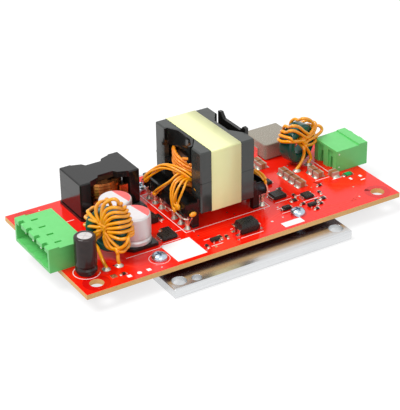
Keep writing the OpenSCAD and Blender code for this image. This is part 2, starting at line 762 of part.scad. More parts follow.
module core_half() {
    tall = core_h / 2;
    thick = (core_h - window_h) / 2;
    intersection() {
        union() {
            linear_extrude(thick) difference() {
                square([core_d, core_w], center = true);
                for (side = [-1, 1]) core_notch(side, 0);
            }
            cylinder(d = post_d, h = tall);
            difference() {
                translate([-core_d / 2, -core_w / 2, 0]) cube([core_d, core_w, tall]);
                translate([0, 0, -1]) cylinder(d = window_d, h = tall + 2);
                translate([-core_d, -leg_opening / 2, -1]) cube([2 * core_d, leg_opening, tall + 2]);
            }
        }
        bevel_box(core_d, core_w, core_h, core_bevel);
    }
}

module transformer_lower_core() {
    color([0.35, 0.37, 0.36]) at(transformer_spot) translate([0, 0, core_stand]) core_half();
}

module transformer_upper_core() {
    color([0.45, 0.46, 0.45]) at(transformer_spot)
        translate([0, 0, core_stand + core_h]) mirror([0, 0, 1]) core_half();
}

module transformer_tape() {
    color([0.95, 0.93, 0.8]) at(transformer_spot)
        translate([tape_shift - tape_w / 2, 0, core_stand + core_h / 2]) rotate([90, 0, 90])
            linear_extrude(tape_w) difference() {
                polygon(bevel_rect(core_w + 2 * tape_t, core_h + 2 * tape_t, core_bevel + tape_t * 0.4));
                polygon(bevel_rect(core_w, core_h, core_bevel));
            }
}

// The bobbin's pin rail towards +X: an open tray for the wires, with the pins in its floor
// and a foot on the board under each end.
module bobbin_rail() {
    difference() {
        union() {
            translate([rail_in, -tray_len / 2, rail_low]) cube([rail_out - rail_in, tray_len, tray_h]);
            translate([rail_in, -tray_len / 2, rail_low])
                cube([tray_wall, tray_len, bobbin_low + flange_t - rail_low]);
            for (side = [-1, 1])
                translate([rail_in, side * (tray_len / 2 - foot_inset) - foot_size.y / 2, 0])
                    cube([foot_size.x, foot_size.y, rail_low + eps]);
        }
        translate([rail_in + tray_wall, -tray_len / 2 + tray_wall, rail_low + rail_floor])
            cube([rail_out - rail_in - 2 * tray_wall, tray_len - 2 * tray_wall, tray_h]);
        for (y = pin_places()) translate([pin_row, y, rail_low - 1])
            cylinder(d = bobbin_pin_d + 2 * fit_gap, h = pin_top - rail_low + 1 + fit_gap, $fn = 24);
    }
}

module bobbin_flange() {
    difference() {
        union() {
            intersection() {
                cylinder(d = window_d - 0.5, h = flange_t);
                translate([-core_d, -core_w / 2, 0]) cube([2 * core_d, core_w, flange_t]);
            }
            translate([-rail_in - tray_wall, -leg_opening / 2 + 0.3, 0])
                cube([2 * (rail_in + tray_wall), leg_opening - 0.6, flange_t]);
        }
        translate([0, 0, -1]) cylinder(d = post_d + 0.3, h = 3);
    }
}

// Collar wall on the upper flange: it follows the notch towards -X and runs straight at +X.
// Inside the notch the flange is open, so that the winding shows.
collar_out = 0.3;
collar_in = 1.1;
module transformer_bobbin() {
    lip = core_stand + core_h + collar_rise - bobbin_high;
    side_end = leg_opening / 2 - 0.3;
    color([0.1, 0.1, 0.1]) at(transformer_spot) {
        difference() {
            union() {
                translate([0, 0, bobbin_low]) cylinder(d = post_d + 1.9, h = bobbin_high - bobbin_low);
                translate([0, 0, bobbin_low]) bobbin_flange();
                translate([0, 0, bobbin_high - flange_t]) bobbin_flange();
            }
            translate([0, 0, bobbin_low - 1]) cylinder(d = post_d + 0.3, h = bobbin_high);
            translate([0, 0, bobbin_high - flange_t - 1]) linear_extrude(flange_t + 2) intersection() {
                core_notch(-1, collar_in);
                translate([-core_d, -core_w]) square([core_d - post_d / 2 - 1.5, 2 * core_w]);
            }
        }
        for (side = [0, 180]) rotate(side) bobbin_rail();
        translate([0, 0, bobbin_high - eps]) linear_extrude(lip) difference() {
            intersection() {
                core_notch(-1, collar_out);
                square([core_d + 1, core_w], center = true);
            }
            core_notch(-1, collar_in);
        }
        translate([rail_in, 0, bobbin_high - eps]) rotate([90, 0, 90]) linear_extrude(tray_wall + 0.3)
            polygon([
                [-side_end, 0], [side_end, 0], [side_end, lip + 0.6], [side_end - 1.4, lip + 0.8],
                [side_end - 3, lip - 1], [3 - side_end, lip - 1], [1.4 - side_end, lip + 0.8],
                [-side_end, lip + 0.6]
            ]);
    }
}

winding_r = window_d / 2 - 1.4;
module transformer_winding() {
    low = bobbin_low + flange_t + 0.05;
    high = bobbin_high - flange_t - 0.05;
    layers = 8;
    rise = (high - low) / layers;
    inner = post_d / 2 + 1;
    outer = winding_r;
    color([0.9, 0.55, 0.15]) at(transformer_spot) rotate_extrude($fn = 64) polygon(concat(
        [[inner, high], [inner, low]],
        [for (k = [0:layers - 1], s = [0.1, 0.35, 0.65, 0.9])
            [outer - (s == 0.1 || s == 0.9 ? 0.25 : 0), low + rise * (k + s)]]
    ));
}

module transformer_pins() {
    color([0.85, 0.85, 0.8]) on_board() for (f = bobbin_feet())
        translate([f.x, f.y, -board_t - pin_tail])
            cylinder(d = bobbin_pin_d, h = board_t + pin_tail + pin_top, $fn = 24);
}

// Wire bundles from the winding over the tray's outer wall to the pins. Each starts at
// the winding at an angle and a height, and ends beside a pin; the points between are
// given from the tray's outer wall, so that they clear it.
bundle_d = 1.5;
bundles = [
    // side, start angle, start height, points (outwards, along Y, up), place along Y at its pin
    [-1, 210, 14.6, [[-3.6, -2.6, 15.4], [-1.6, 3, 14.6], [0.2, 7.6, 11.6], [1, 10.4, 8]], 11.43],
    [-1, 203, 12.6, [[-2.2, -3, 12.4], [0.4, -0.6, 10], [1, 2, 7.4]], 3.81],
    [-1, 212, 13.2, [[-2, -5, 12.4], [0.6, -6.4, 10.6], [1, -7, 7.6]], -7.62],
    [-1, 219, 12.6, [[-1.6, -7.6, 12.2], [0.8, -9, 11], [1, -10.4, 8]], -11.43],
    [1, -33, 13.6, [[-1.6, -7, 12.4], [0.4, -9.4, 11.4], [1, -11, 8]], -11.43],
    [1, 25, 12.6, [[-1.6, 5, 12.4], [0.4, 6.4, 11], [1, 7.4, 8]], 7.62]
];

// Smooth curve through points, n steps between two of them.
function through(p, n) = let (last = len(p) - 1) concat([
    for (i = [0:last - 1]) for (k = [0:n - 1])
        let (t = k / n, a = p[max(i - 1, 0)], b = p[i], c = p[i + 1], d = p[min(i + 2, last)])
        0.5 * (2 * b + (c - a) * t + (2 * a - 5 * b + 4 * c - d) * t * t
            + (3 * b - a - 3 * c + d) * t * t * t)
], [p[last]]);

function bundle_points(b) =
    let (r = winding_r + bundle_d / 2 + 0.1,
         wall = rail_out + bundle_d / 2 + 0.1,
         pin = pin_row + (bobbin_pin_d + bundle_d) / 2 + 0.05)
    concat(
        [[r * cos(b[1]), r * sin(b[1]), b[2]]],
        [for (q = b[3]) [b[0] * (wall + min(q.x, 1) - 0.5), q.y, q.z]],
        [[b[0] * wall, b[4], rail_low - 0.3], [b[0] * pin, b[4], rail_low - 1.3],
         [b[0] * pin, b[4], rail_low - 2.3]]
    );

module transformer_leads() {
    color([0.95, 0.62, 0.15]) at(transformer_spot) for (b = bundles)
        sweep(through(bundle_points(b), 3), rim(bundle_d / 2, 8), [0, 1, 0]);
}

// ---- moulded inductor ----

module moulded_inductor() {
    color([0.75, 0.72, 0.66]) at(moulded_spot) translate([0, 0, 0.2]) difference() {
        intersection() {
            linear_extrude(moulded_h - 0.2) polygon(round_rect(moulded_l - 0.6, moulded_w, 1));
            bevel_box(moulded_l - 0.6, moulded_w, moulded_h - 0.2, 0.25);
        }
    }
}

module moulded_inductor_terminals() {
    color([0.85, 0.82, 0.75]) at(moulded_spot) for (side = [0, 180]) rotate(side)
        translate([moulded_l / 2, 2.2, 0]) rotate([90, 0, 0]) linear_extrude(4.4)
            polygon([[-3, 0], [0, 0], [0, 3], [-0.3, 3], [-0.3, 0.2], [-3, 0.2]]);
}

// ---- small parts ----

opto_l = 6.4;
opto_w = 4.6;
opto_h = 3.4;
module optocoupler() {
    color([0.15, 0.15, 0.14]) at(opto_spot) translate([0, 0, 0.15]) package(opto_l, opto_w, opto_h, 0.45);
}

module optocoupler_leads() {
    color([0.85, 0.85, 0.8]) at(opto_spot) for (side = [0, 180], y = [-1.27, 1.27]) rotate(side)
        translate([opto_l / 2, y, 0]) gull_lead(1.4, opto_h / 2 + 0.3, 1.1, 0.25);
}

module ceramic_capacitors() {
    cap = 0.55;
    color([0.7, 0.48, 0.3]) for (s = ceramic_spots) at(s) rotate(s[2])
        bevel_box(ceramic_l - 2 * cap, ceramic_w - 0.1, ceramic_h - 0.05, 0.06);
}

module ceramic_capacitor_ends() {
    cap = 0.55;
    color([0.85, 0.84, 0.8]) for (s = ceramic_spots) at(s) rotate(s[2]) for (side = [-1, 1])
        translate([side * (ceramic_l - cap) / 2, 0, 0]) bevel_box(cap, ceramic_w, ceramic_h, 0.08);
}

chip_cap = 0.3;
chip_h = 0.55;
module chip_parts() {
    color([0.15, 0.15, 0.15]) for (s = chip_spots) at(s) rotate(s[2])
        translate([-s[3] / 2 + chip_cap, -s[4] / 2, 0]) cube([s[3] - 2 * chip_cap, s[4], chip_h]);
}

module chip_part_ends() {
    color([0.85, 0.85, 0.82]) for (s = chip_spots) at(s) rotate(s[2]) for (side = [-1, 1])
        translate([side * (s[3] - chip_cap) / 2 - chip_cap / 2, -s[4] / 2, 0])
            cube([chip_cap, s[4], chip_h]);
}

module control_chips() {
    color([0.2, 0.2, 0.2]) for (s = control_spots) at(s)
        translate([0, 0, 0.1]) package(s[2], s[3], s[4], 0.15);
}

module control_chip_leads() {
    lead_pitch = 0.8;
    color([0.85, 0.85, 0.82]) for (s = control_spots) at(s) {
        n = floor((s[3] - 0.6) / lead_pitch);
        for (side = [0, 180], i = [0:n - 1]) rotate(side)
            translate([s[2] / 2, along(n, lead_pitch, i), 0]) gull_lead(0.9, s[4] / 2 + 0.18, 0.35, 0.15);
    }
}

module diodes() {
    color([0.15, 0.15, 0.15]) for (s = diode_spots) at(s) rotate(s[2])
        translate([0, 0, 0.1]) package(s[3], s[4], s[5], 0.12);
}

module diode_terminals() {
    color([0.85, 0.85, 0.82]) for (s = diode_spots) at(s) rotate(s[2]) for (side = [0, 180]) rotate(side)
        translate([s[3] / 2, 0, 0]) gull_lead(0.8, s[5] / 2 + 0.2, s[4] * 0.6, 0.2);
}

module small_transistors() {
    color([0.15, 0.15, 0.15]) for (s = transistor_spots) at(s) rotate(s[2])
        translate([0, 0, 0.1]) package(2.9, 1.3, 1, 0.1);
}

module small_transistor_leads() {
    color([0.85, 0.85, 0.82]) for (s = transistor_spots) at(s) rotate(s[2]) {
        for (x = [-0.95, 0.95]) translate([x, -0.65, 0]) rotate(-90) gull_lead(0.75, 0.65, 0.4, 0.12);
        translate([0, 0.65, 0]) rotate(90) gull_lead(0.75, 0.65, 0.4, 0.12);
    }
}

heat_plate();
circuit_board();
tinned_pads();
board_screws();
spacers();
thermal_pad();
power_transistors();
input_header();
input_contacts();
output_header();
output_contacts();
radial_capacitor_sleeve();
radial_capacitor_can();
radial_capacitor_bung();
radial_capacitor_leads();
can_capacitors();
can_capacitor_bases();
can_capacitor_tabs();
input_toroid_core();
input_toroid_winding();
output_toroid_core();
output_toroid_winding();
choke_upper_core();
choke_lower_core();
choke_foot_plate();
choke_winding();
choke_terminals();
transformer_upper_core();
transformer_lower_core();
transformer_tape();
transformer_bobbin();
transformer_winding();
transformer_pins();
transformer_leads();
moulded_inductor();
moulded_inductor_terminals();
optocoupler();
optocoupler_leads();
ceramic_capacitors();
ceramic_capacitor_ends();
chip_parts();
chip_part_ends();
control_chips();
control_chip_leads();
diodes();
diode_terminals();
small_transistors();
small_transistor_leads();
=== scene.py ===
"""Looks of the open frame power supply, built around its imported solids.

Lengths in the dataclasses are millimetres and places are given from the board's own
centre on its top face: x along the board, y across it, z up. Meshes are in metres.
"""

from __future__ import annotations

import json
import logging
import math
from dataclasses import dataclass, field
from enum import Enum

import bmesh
import bpy
import numpy as np
from mathutils import Matrix, Vector

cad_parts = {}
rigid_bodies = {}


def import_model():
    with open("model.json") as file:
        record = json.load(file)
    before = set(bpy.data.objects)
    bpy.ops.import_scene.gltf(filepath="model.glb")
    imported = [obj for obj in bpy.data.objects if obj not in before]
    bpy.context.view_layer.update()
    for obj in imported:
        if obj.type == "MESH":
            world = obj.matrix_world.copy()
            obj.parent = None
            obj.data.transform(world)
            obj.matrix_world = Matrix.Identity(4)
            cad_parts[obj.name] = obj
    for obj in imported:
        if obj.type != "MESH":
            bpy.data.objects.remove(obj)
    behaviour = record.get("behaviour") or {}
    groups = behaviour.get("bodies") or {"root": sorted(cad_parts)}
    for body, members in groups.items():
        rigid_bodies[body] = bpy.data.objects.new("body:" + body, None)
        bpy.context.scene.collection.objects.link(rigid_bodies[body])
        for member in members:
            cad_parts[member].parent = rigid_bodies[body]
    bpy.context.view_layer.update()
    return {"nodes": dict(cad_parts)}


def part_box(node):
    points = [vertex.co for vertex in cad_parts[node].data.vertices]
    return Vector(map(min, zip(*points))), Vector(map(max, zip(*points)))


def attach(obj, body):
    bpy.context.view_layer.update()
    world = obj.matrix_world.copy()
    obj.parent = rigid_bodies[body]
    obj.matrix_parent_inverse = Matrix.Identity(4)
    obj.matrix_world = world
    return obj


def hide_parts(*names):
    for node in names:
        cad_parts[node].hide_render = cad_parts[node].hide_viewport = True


LOG = logging.getLogger("power_supply")
MM = 0.001
WELD = 2e-6  # points nearer than this are one point, in metres
FLAT = math.radians(0.5)  # faces that meet flatter than this become one
SHARP = math.radians(30.0)  # edges sharper than this are rounded
Array = np.ndarray
Patch = tuple[Array, list]
Colour = tuple[float, float, float]


# ---------------------------------------------------------------- places and meshes


def drop_crumbs(bm: bmesh.types.BMesh, fewest: int) -> None:
    """Deletes the loose parts of a mesh that have fewer corners than fewest."""
    seen: set = set()
    for first in bm.verts[:]:
        if first in seen:
            continue
        part, edge = {first}, [first]
        while edge:
            near = {e.other_vert(v) for v in edge for e in v.link_edges} - part
            part |= near
            edge = list(near)
        seen |= part
        if len(part) < fewest:
            bmesh.ops.delete(bm, geom=list(part), context="VERTS")


@dataclass(frozen=True)
class BoardPlace:
    """The board's top face: turns board millimetres into metres of the part's frame."""

    centre_x: float
    centre_y: float
    top_z: float

    def origin(self) -> Array:
        """The middle of the board's top face, in metres."""
        return np.array([self.centre_x, self.centre_y, self.top_z])

    def points(self, local: Array) -> Array:
        """Moves points from the board's millimetres to the part's metres.

        Args:
            local: points from the board's centre, one row each, in millimetres.

        Returns:
            The same points in the part's frame, in metres.
        """
        return np.asarray(local, float) * MM + self.origin()

    def box(self, node: str) -> tuple[Array, Array]:
        """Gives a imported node's lowest and highest corners in board millimetres."""
        low, high = ((np.array(corner) - self.origin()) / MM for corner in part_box(node))
        return low, high


def unit(v: Array) -> Array:
    """Scales vectors to length one, row by row."""
    v = np.asarray(v, float)
    return v / np.maximum(np.linalg.norm(v, axis=-1, keepdims=True), 1e-12)


def mesh_object(name: str, verts: Array, faces: list | Array, smooth: bool = True) -> bpy.types.Object:
    """Makes an object at the origin from points in metres.

    Args:
        name: the piece's name.
        verts: points in the part's frame, in metres.
        faces: corner indices of each face.
        smooth: whether the faces shade smoothly.

    Returns:
        The linked object.
    """
    mesh = bpy.data.meshes.new(name)
    mesh.from_pydata(np.asarray(verts, float).tolist(), [], [list(map(int, f)) for f in faces])
    mesh.polygons.foreach_set("use_smooth", [smooth] * len(mesh.polygons))
    mesh.update()
    obj = bpy.data.objects.new(name, mesh)
    bpy.context.scene.collection.objects.link(obj)
    return obj


def gathered(patches: list[Patch]) -> Patch:
    """Joins patches, each of which counts its corners from its own first point."""
    faces, count = [], 0
    for verts, own in patches:
        faces += [[i + count for i in face] for face in own]
        count += len(verts)
    return np.vstack([verts for verts, _ in patches]), faces


def grid_faces(rows: int, cols: int) -> list:
    """Faces of a grid of points whose rows are rings.

    Args:
        rows: how many rings.
        cols: points in a ring.

    Returns:
        Corner indices of each four-sided face.
    """
    r, c = np.meshgrid(np.arange(rows - 1), np.arange(cols), indexing="ij")
    r, c, n = r.ravel(), c.ravel(), (c.ravel() + 1) % cols
    return np.stack([r * cols + c, r * cols + n, (r + 1) * cols + n, (r + 1) * cols + c], 1).tolist()


def closed_faces(rows: int, cols: int) -> list:
    """Faces of a grid of points whose rows are rings, with both ends closed."""
    last = (rows - 1) * cols
    ends = [list(range(cols))[::-1], list(range(last, last + cols))]
    return grid_faces(rows, cols) + ends


def carried_frame(path: Array, start: Array) -> tuple[Array, Array, Array]:
    """Carries a frame along a path so that it turns as little as it can.

    Args:
        path: points along the path.
        start: a direction that the first side vector leans towards.

    Returns:
        The tangents and the two side vectors at each point.
    """
    tangent = unit(np.gradient(path, axis=0))
    side = np.zeros_like(path)
    v = np.asarray(start, float)
    for i, t in enumerate(tangent):
        v = unit(v - (v @ t) * t)
        side[i] = v
    return tangent, side, np.cross(tangent, side)


def tube(path: Array, radius: float | Array, sides: int = 12, start: Array = (0.0, 0.0, 1.0),
         lobes: int = 0, lobe_depth: float = 0.0, twist: float = 0.0) -> Patch:
    """Sweeps a section along a path: p + r(t, a) (u cos a + w sin a).

    The radius may ripple round the section as 1 + depth cos(lobes (a - twist * length)),
    which looks like a rope of that many strands.

    Args:
        path: points along the centre line, in millimetres.
        radius: one radius, or one for each point.
        sides: points round the section.
        start: a direction for the first side vector.
        lobes: strands that show round the section, or 0 for a plain wire.
        lobe_depth: depth of the ripple as a share of the radius.
        twist: turns of the ripple per millimetre.

    Returns:
        Points and faces, with closed ends.
    """
    path = np.asarray(path, float)
    _, side, other = carried_frame(path, np.asarray(start, float))
    a = np.linspace(0, 2 * np.pi, sides, endpoint=False)
    length = np.concatenate([[0], np.cumsum(np.linalg.norm(np.diff(path, axis=0), axis=1))])
    r = np.broadcast_to(np.asarray(radius, float), (len(path),))[:, None] * np.ones(sides)
    if lobes:
        r = r * (1 + lobe_depth * np.cos(lobes * (a[None, :] - 2 * np.pi * twist * length[:, None])))
    ring = side[:, None, :] * np.cos(a)[None, :, None] + other[:, None, :] * np.sin(a)[None, :, None]
    verts = path[:, None, :] + r[:, :, None] * ring
    return verts.reshape(-1, 3), closed_faces(len(path), sides)


def through(points: Array, steps: int) -> Array:
    """Smooth Catmull-Rom curve through points, with steps pieces between two of them."""
    p = np.asarray(points, float)
    q = np.vstack([2 * p[0] - p[1], p, 2 * p[-1] - p[-2]])
    t = np.linspace(0, 1, steps, endpoint=False)[None, :, None]
    a, b, c, d = (q[k:len(q) - 3 + k, None, :] for k in range(4))
    curve = 0.5 * (2 * b + (c - a) * t + (2 * a - 5 * b + 4 * c - d) * t**2
                   + (3 * b - a - 3 * c + d) * t**3)
    return np.vstack([curve.reshape(-1, 3), p[-1]])


def revolved(profile: Array, centre: Array, steps: int) -> Patch:
    """Turns a profile round an upright axis: (x + r cos a, y + r sin a, z).

    Args:
        profile: rows of radius and height, from the top down along the outside.
        centre: place of the axis on the board.
        steps: points round the axis.

    Returns:
        Points and faces.
    """
    profile = np.asarray(profile, float)
    a = np.linspace(0, 2 * np.pi, steps, endpoint=False)
    x = centre[0] + profile[:, None, 0] * np.cos(a)
    y = centre[1] + profile[:, None, 0] * np.sin(a)
    z = np.broadcast_to(profile[:, None, 1], x.shape)
    faces = [face[::-1] for face in grid_faces(len(profile), steps)]
    return np.stack([x, y, z], -1).reshape(-1, 3), faces


def slab(outline: Array, low: float, high: float) -> Patch:
    """An upright prism over an outline that runs anticlockwise, with closed ends."""
    o = np.asarray(outline, float)
    n = len(o)
    verts = np.vstack([np.column_stack([o, np.full(n, z)]) for z in (low, high)])
    return verts, closed_faces(2, n)


def block(centre: Array, size: Array, low: float) -> Patch:
    """A box on the board: its centre, its length, width and height, and its foot's height."""
    half = np.array([[1, 1], [-1, 1], [-1, -1], [1, -1]]) * np.array(size[:2]) / 2
    return slab(half + np.array(centre[:2]), low, low + size[2])


def rectangle(row: tuple[float, float, float, float]) -> list:
    """The four corners of a rectangle given by its lowest and highest x and y."""
    x0, y0, x1, y1 = row
    return [(x0, y0), (x1, y0), (x1, y1), (x0, y1)]


def stroke(points: Array, width: float, height: float, closed: bool = False) -> Patch:
    """A flat printed line of one width through points on the board, with mitred corners."""
    p = np.asarray(points, float)
    nxt = np.roll(p, -1, 0) if closed else np.vstack([p[1:], 2 * p[-1] - p[-2]])
    prv = np.roll(p, 1, 0) if closed else np.vstack([2 * p[0] - p[1], p[:-1]])
    n1 = unit(nxt - p)[:, ::-1] * [-1, 1]
    n2 = unit(p - prv)[:, ::-1] * [-1, 1]
    m = unit(n1 + n2)
    m = m / np.maximum(np.sum(m * n1, 1, keepdims=True), 0.5)
    both = np.stack([p + m * width / 2, p - m * width / 2], 1).reshape(-1, 2)
    rows = len(p)
    faces = [[2 * i, 2 * i + 1, 2 * ((i + 1) % rows) + 1, 2 * ((i + 1) % rows)]
             for i in range(rows if closed else rows - 1)]
    return np.column_stack([both, np.full(len(both), height)]), faces


def round_points(centre: Array, radius: float | Array, angle: Array) -> Array:
    """Points round a place: (x + r cos a, y + r sin a)."""
    return np.column_stack([centre[0] + radius * np.cos(angle), centre[1] + radius * np.sin(angle)])


def ring_points(centre: Array, radius: float, first: float, last: float, steps: int) -> Array:
    """Points on an arc round a place on the board, angles in degrees."""
    return round_points(centre, radius, np.radians(np.linspace(first, last, steps)))


# ---------------------------------------------------------------- finishes


@dataclass(frozen=True)
class NodeBench:
    """Adds nodes to one material or world and joins them."""

    tree: bpy.types.NodeTree

    def fill(self, node: bpy.types.Node, values: dict) -> None:
        """Sets each named input to a plain value, or joins the output given for it."""
        for socket, value in values.items():
            if isinstance(value, bpy.types.NodeSocket):
                self.tree.links.new(value, node.inputs[socket])
            else:
                node.inputs[socket].default_value = value

    def add(self, kind: str, values: dict | None = None, **options: object) -> bpy.types.Node:
        """Adds a node.

        Args:
            kind: the node's type, without its usual beginning.
            values: a plain value or an output for each named input.
            options: settings of the node itself.

        Returns:
            The node.
        """
        node = self.tree.nodes.new("ShaderNode" + kind)
        for option, value in options.items():
            setattr(node, option, value)
        self.fill(node, values or {})
        return node

    def sum(self, operation: str, *terms: object) -> bpy.types.NodeSocket:
        """Works out one operation on one or two terms."""
        return self.add("Math", dict(enumerate(terms)), operation=operation).outputs["Value"]

    def mix(self, factor: bpy.types.NodeSocket, first: object, second: object) -> bpy.types.NodeSocket:
        """Mixes two colours, each written down or the output of a node."""
        a, b = (c if isinstance(c, bpy.types.NodeSocket) else (*c, 1) for c in (first, second))
        node = self.add("Mix", data_type="RGBA")
        self.fill(node, {"Factor": factor, "A": a, "B": b})
        return node.outputs["Result"]

    def seen(self, as_light: float, in_view: float) -> bpy.types.NodeSocket:
        """Gives one level as light and another to the camera and in reflections."""
        path = self.add("LightPath").outputs
        either = self.sum("MAXIMUM", path["Is Camera Ray"], path["Is Glossy Ray"])
        return self.add("MapRange", {
            "Value": either, "To Min": as_light, "To Max": in_view}).outputs["Result"]


class Grain(Enum):
    """How a finish varies over its surface: the stretch of its pattern along x, y and z."""

    FINE = (1.0, 1.0, 1.0)
    BRUSHED = (0.03, 1.0, 1.0)
    BANDED = (1.0, 0.04, 1.0)
    DRAWN = (1.0, 1.0, 0.05)


@dataclass(frozen=True)
class Finish:
    """A finish with colour variation, roughness and a fine bump.

    Attributes:
        name: the material's name.
        colour: the main colour, linear.
        second: the colour it varies to, linear.
        roughness: surface roughness.
        metallic: 1 for bare metal.
        scale: size of the variation, in cells per metre.
        bump: height of the bump, in metres.
        coat: weight of a clear coat.
        grain: how it varies.
        specular: strength of the surface's own gloss.
    """

    name: str
    colour: Colour
    second: Colour
    roughness: float = 0.5
    metallic: float = 0.0
    scale: float = 900.0
    bump: float = 0.00002
    coat: float = 0.0
    grain: Grain = Grain.FINE
    specular: float = 0.5

    def pattern(self, bench: NodeBench) -> bpy.types.NodeSocket:
        """Adds the nodes that give the finish its variation, from 0 to 1."""
        coords = bench.add("TexCoord")
        stretch = bench.add("Mapping", {"Vector": coords.outputs["Object"], "Scale": self.grain.value})
        noise = bench.add("TexNoise", {
            "Vector": stretch.outputs["Vector"], "Scale": self.scale, "Detail": 4.0})
        return noise.outputs["Fac"]

    def build(self) -> bpy.types.Material:
        """Makes the material.

        Returns:
            The Blender material.
        """
        material = bpy.data.materials.new(self.name)
        material.use_nodes = True
        bench = NodeBench(material.node_tree)
        shader = material.node_tree.nodes["Principled BSDF"]
        bench.fill(shader, {
            "Base Color": (*self.colour, 1), "Roughness": self.roughness, "Metallic": self.metallic,
            "Coat Weight": self.coat, "Coat Roughness": 0.12, "Specular IOR Level": self.specular})
        self.dress(bench, shader)
        return material

    def dress(self, bench: NodeBench, shader: bpy.types.Node) -> None:
        """Joins the variation to the colour, the roughness and the fine bump."""
        fac = self.pattern(bench)
        level = bench.add("MapRange", {
            "Value": fac, "To Min": self.roughness * 0.7, "To Max": min(self.roughness * 1.3, 1.0)})
        bump = bench.add("Bump", {"Height": fac, "Distance": self.bump})
        bench.fill(shader, {
            "Base Color": bench.mix(fac, self.colour, self.second),
            "Roughness": level.outputs["Result"], "Normal": bump.outputs["Normal"]})


@dataclass(frozen=True)
class BoardFinish(Finish):
    """Glossy solder mask above, a near black painted shade on the lower face and bare woven glass epoxy on
    the edges.

    Attributes:
        edge: colour of the cut edges.
        under: painted shade for the lower face, near black in place of its red mask.
        layers: how many glass layers show on an edge, in bands per metre.
        dark_layer: brightness of the darker layers beside the others.
        edge_roughness: roughness of the cut edges.
    """

    edge: Colour = (0.92, 0.52, 0.19)
    # Painted shade: the lower face is near black, as if it lay in shadow.
    under: Colour = (0.11, 0.006, 0.003)
    layers: float = 900.0
    dark_layer: float = 0.72
    edge_roughness: float = 0.6

    def dress(self, bench: NodeBench, shader: bpy.types.Node) -> None:
        """Mixes the top mask, the painted shade of the lower face and the cut edge by the direction that the
        face looks in.
        """
        mask = bench.mix(self.pattern(bench), self.colour, self.second)
        coords = bench.add("TexCoord")
        weave = bench.add("TexWave", {
            "Vector": coords.outputs["Object"], "Scale": self.layers, "Distortion": 6.0,
            "Detail Scale": 3.0}, bands_direction="Z")
        edge = bench.mix(weave.outputs["Fac"], self.edge, [self.dark_layer * c for c in self.edge])
        facing = bench.add("SeparateXYZ", {"Vector": coords.outputs["Normal"]}).outputs["Z"]
        steep = bench.sum("ABSOLUTE", facing)
        flat = bench.sum("GREATER_THAN", steep, 0.5)
        # Faces that look down get the painted shade instead of the mask's red.
        face = bench.mix(bench.sum("LESS_THAN", facing, -0.5), mask, self.under)
        gloss = bench.add("MapRange", {
            "Value": flat, "To Min": self.edge_roughness, "To Max": self.roughness})
        bench.fill(shader, {
            "Base Color": bench.mix(flat, edge, face), "Roughness": gloss.outputs["Result"]})


SOLDER_MASK = BoardFinish("solder_mask", (0.98, 0.012, 0.001), (0.86, 0.006, 0.001), roughness=0.16,
                          scale=140)
TRACK = Finish("track_under_mask", (1.0, 0.03, 0.008), (0.95, 0.02, 0.006), roughness=0.16, scale=300)
DEEP_MASK = Finish("mask_over_copper", (0.72, 0.003, 0.001), (0.6, 0.002, 0.001), roughness=0.18, scale=300)
PLATE = Finish("brushed_plate", (0.78, 0.79, 0.8), (0.6, 0.61, 0.62), roughness=0.24, metallic=1.0,
               scale=1500, bump=0.00001, grain=Grain.BRUSHED)
TIN = Finish("tin", (0.88, 0.87, 0.82), (0.66, 0.65, 0.6), roughness=0.24, metallic=1.0, scale=1200)
SOLDER = Finish("solder", (0.78, 0.75, 0.64), (0.42, 0.4, 0.33), roughness=0.3, metallic=0.7, scale=1400,
                bump=0.00008)
ZINC = Finish("zinc", (0.6, 0.7, 0.8), (0.45, 0.55, 0.66), roughness=0.22, metallic=1.0, scale=1500)
GREEN = Finish("green_plastic", (0.15, 0.64, 0.18), (0.125, 0.58, 0.15), roughness=0.34, scale=500)
SLEEVE = Finish("dark_sleeve", (0.014, 0.008, 0.008), (0.035, 0.02, 0.018), roughness=0.2, scale=700,
                specular=0.35)
CAN = Finish("drawn_can", (0.74, 0.72, 0.72), (0.64, 0.62, 0.62), roughness=0.42, metallic=0.45,
             grain=Grain.DRAWN)
CAN_TOP = Finish("lacquered_top", (0.76, 0.73, 0.74), (0.68, 0.65, 0.66), roughness=0.35)
CAN_MARK = Finish("pink_segment", (0.92, 0.16, 0.15), (0.8, 0.1, 0.1), roughness=0.35)
RUBBER = Finish("black_rubber", (0.012, 0.012, 0.012), (0.03, 0.03, 0.03), roughness=0.7)
BLACK = Finish("black_plastic", (0.004, 0.004, 0.004), (0.012, 0.011, 0.01), roughness=0.14, specular=0.42)
CHIP = Finish("chip_plastic", (0.01, 0.01, 0.009), (0.022, 0.022, 0.019), roughness=0.28, scale=2500,
              specular=0.3)
CORE_GREEN = Finish("coated_core", (0.0, 0.1, 0.075), (0.0, 0.055, 0.042), roughness=0.2, scale=500,
                    coat=0.15, specular=0.4)
ENAMEL = Finish("enamelled_wire", (1.0, 0.46, 0.004), (0.9, 0.28, 0.002), roughness=0.14, scale=300,
                coat=0.25)
LITZ = Finish("litz_strand", (1.0, 0.36, 0.012), (0.75, 0.17, 0.004), roughness=0.25, metallic=0.1)
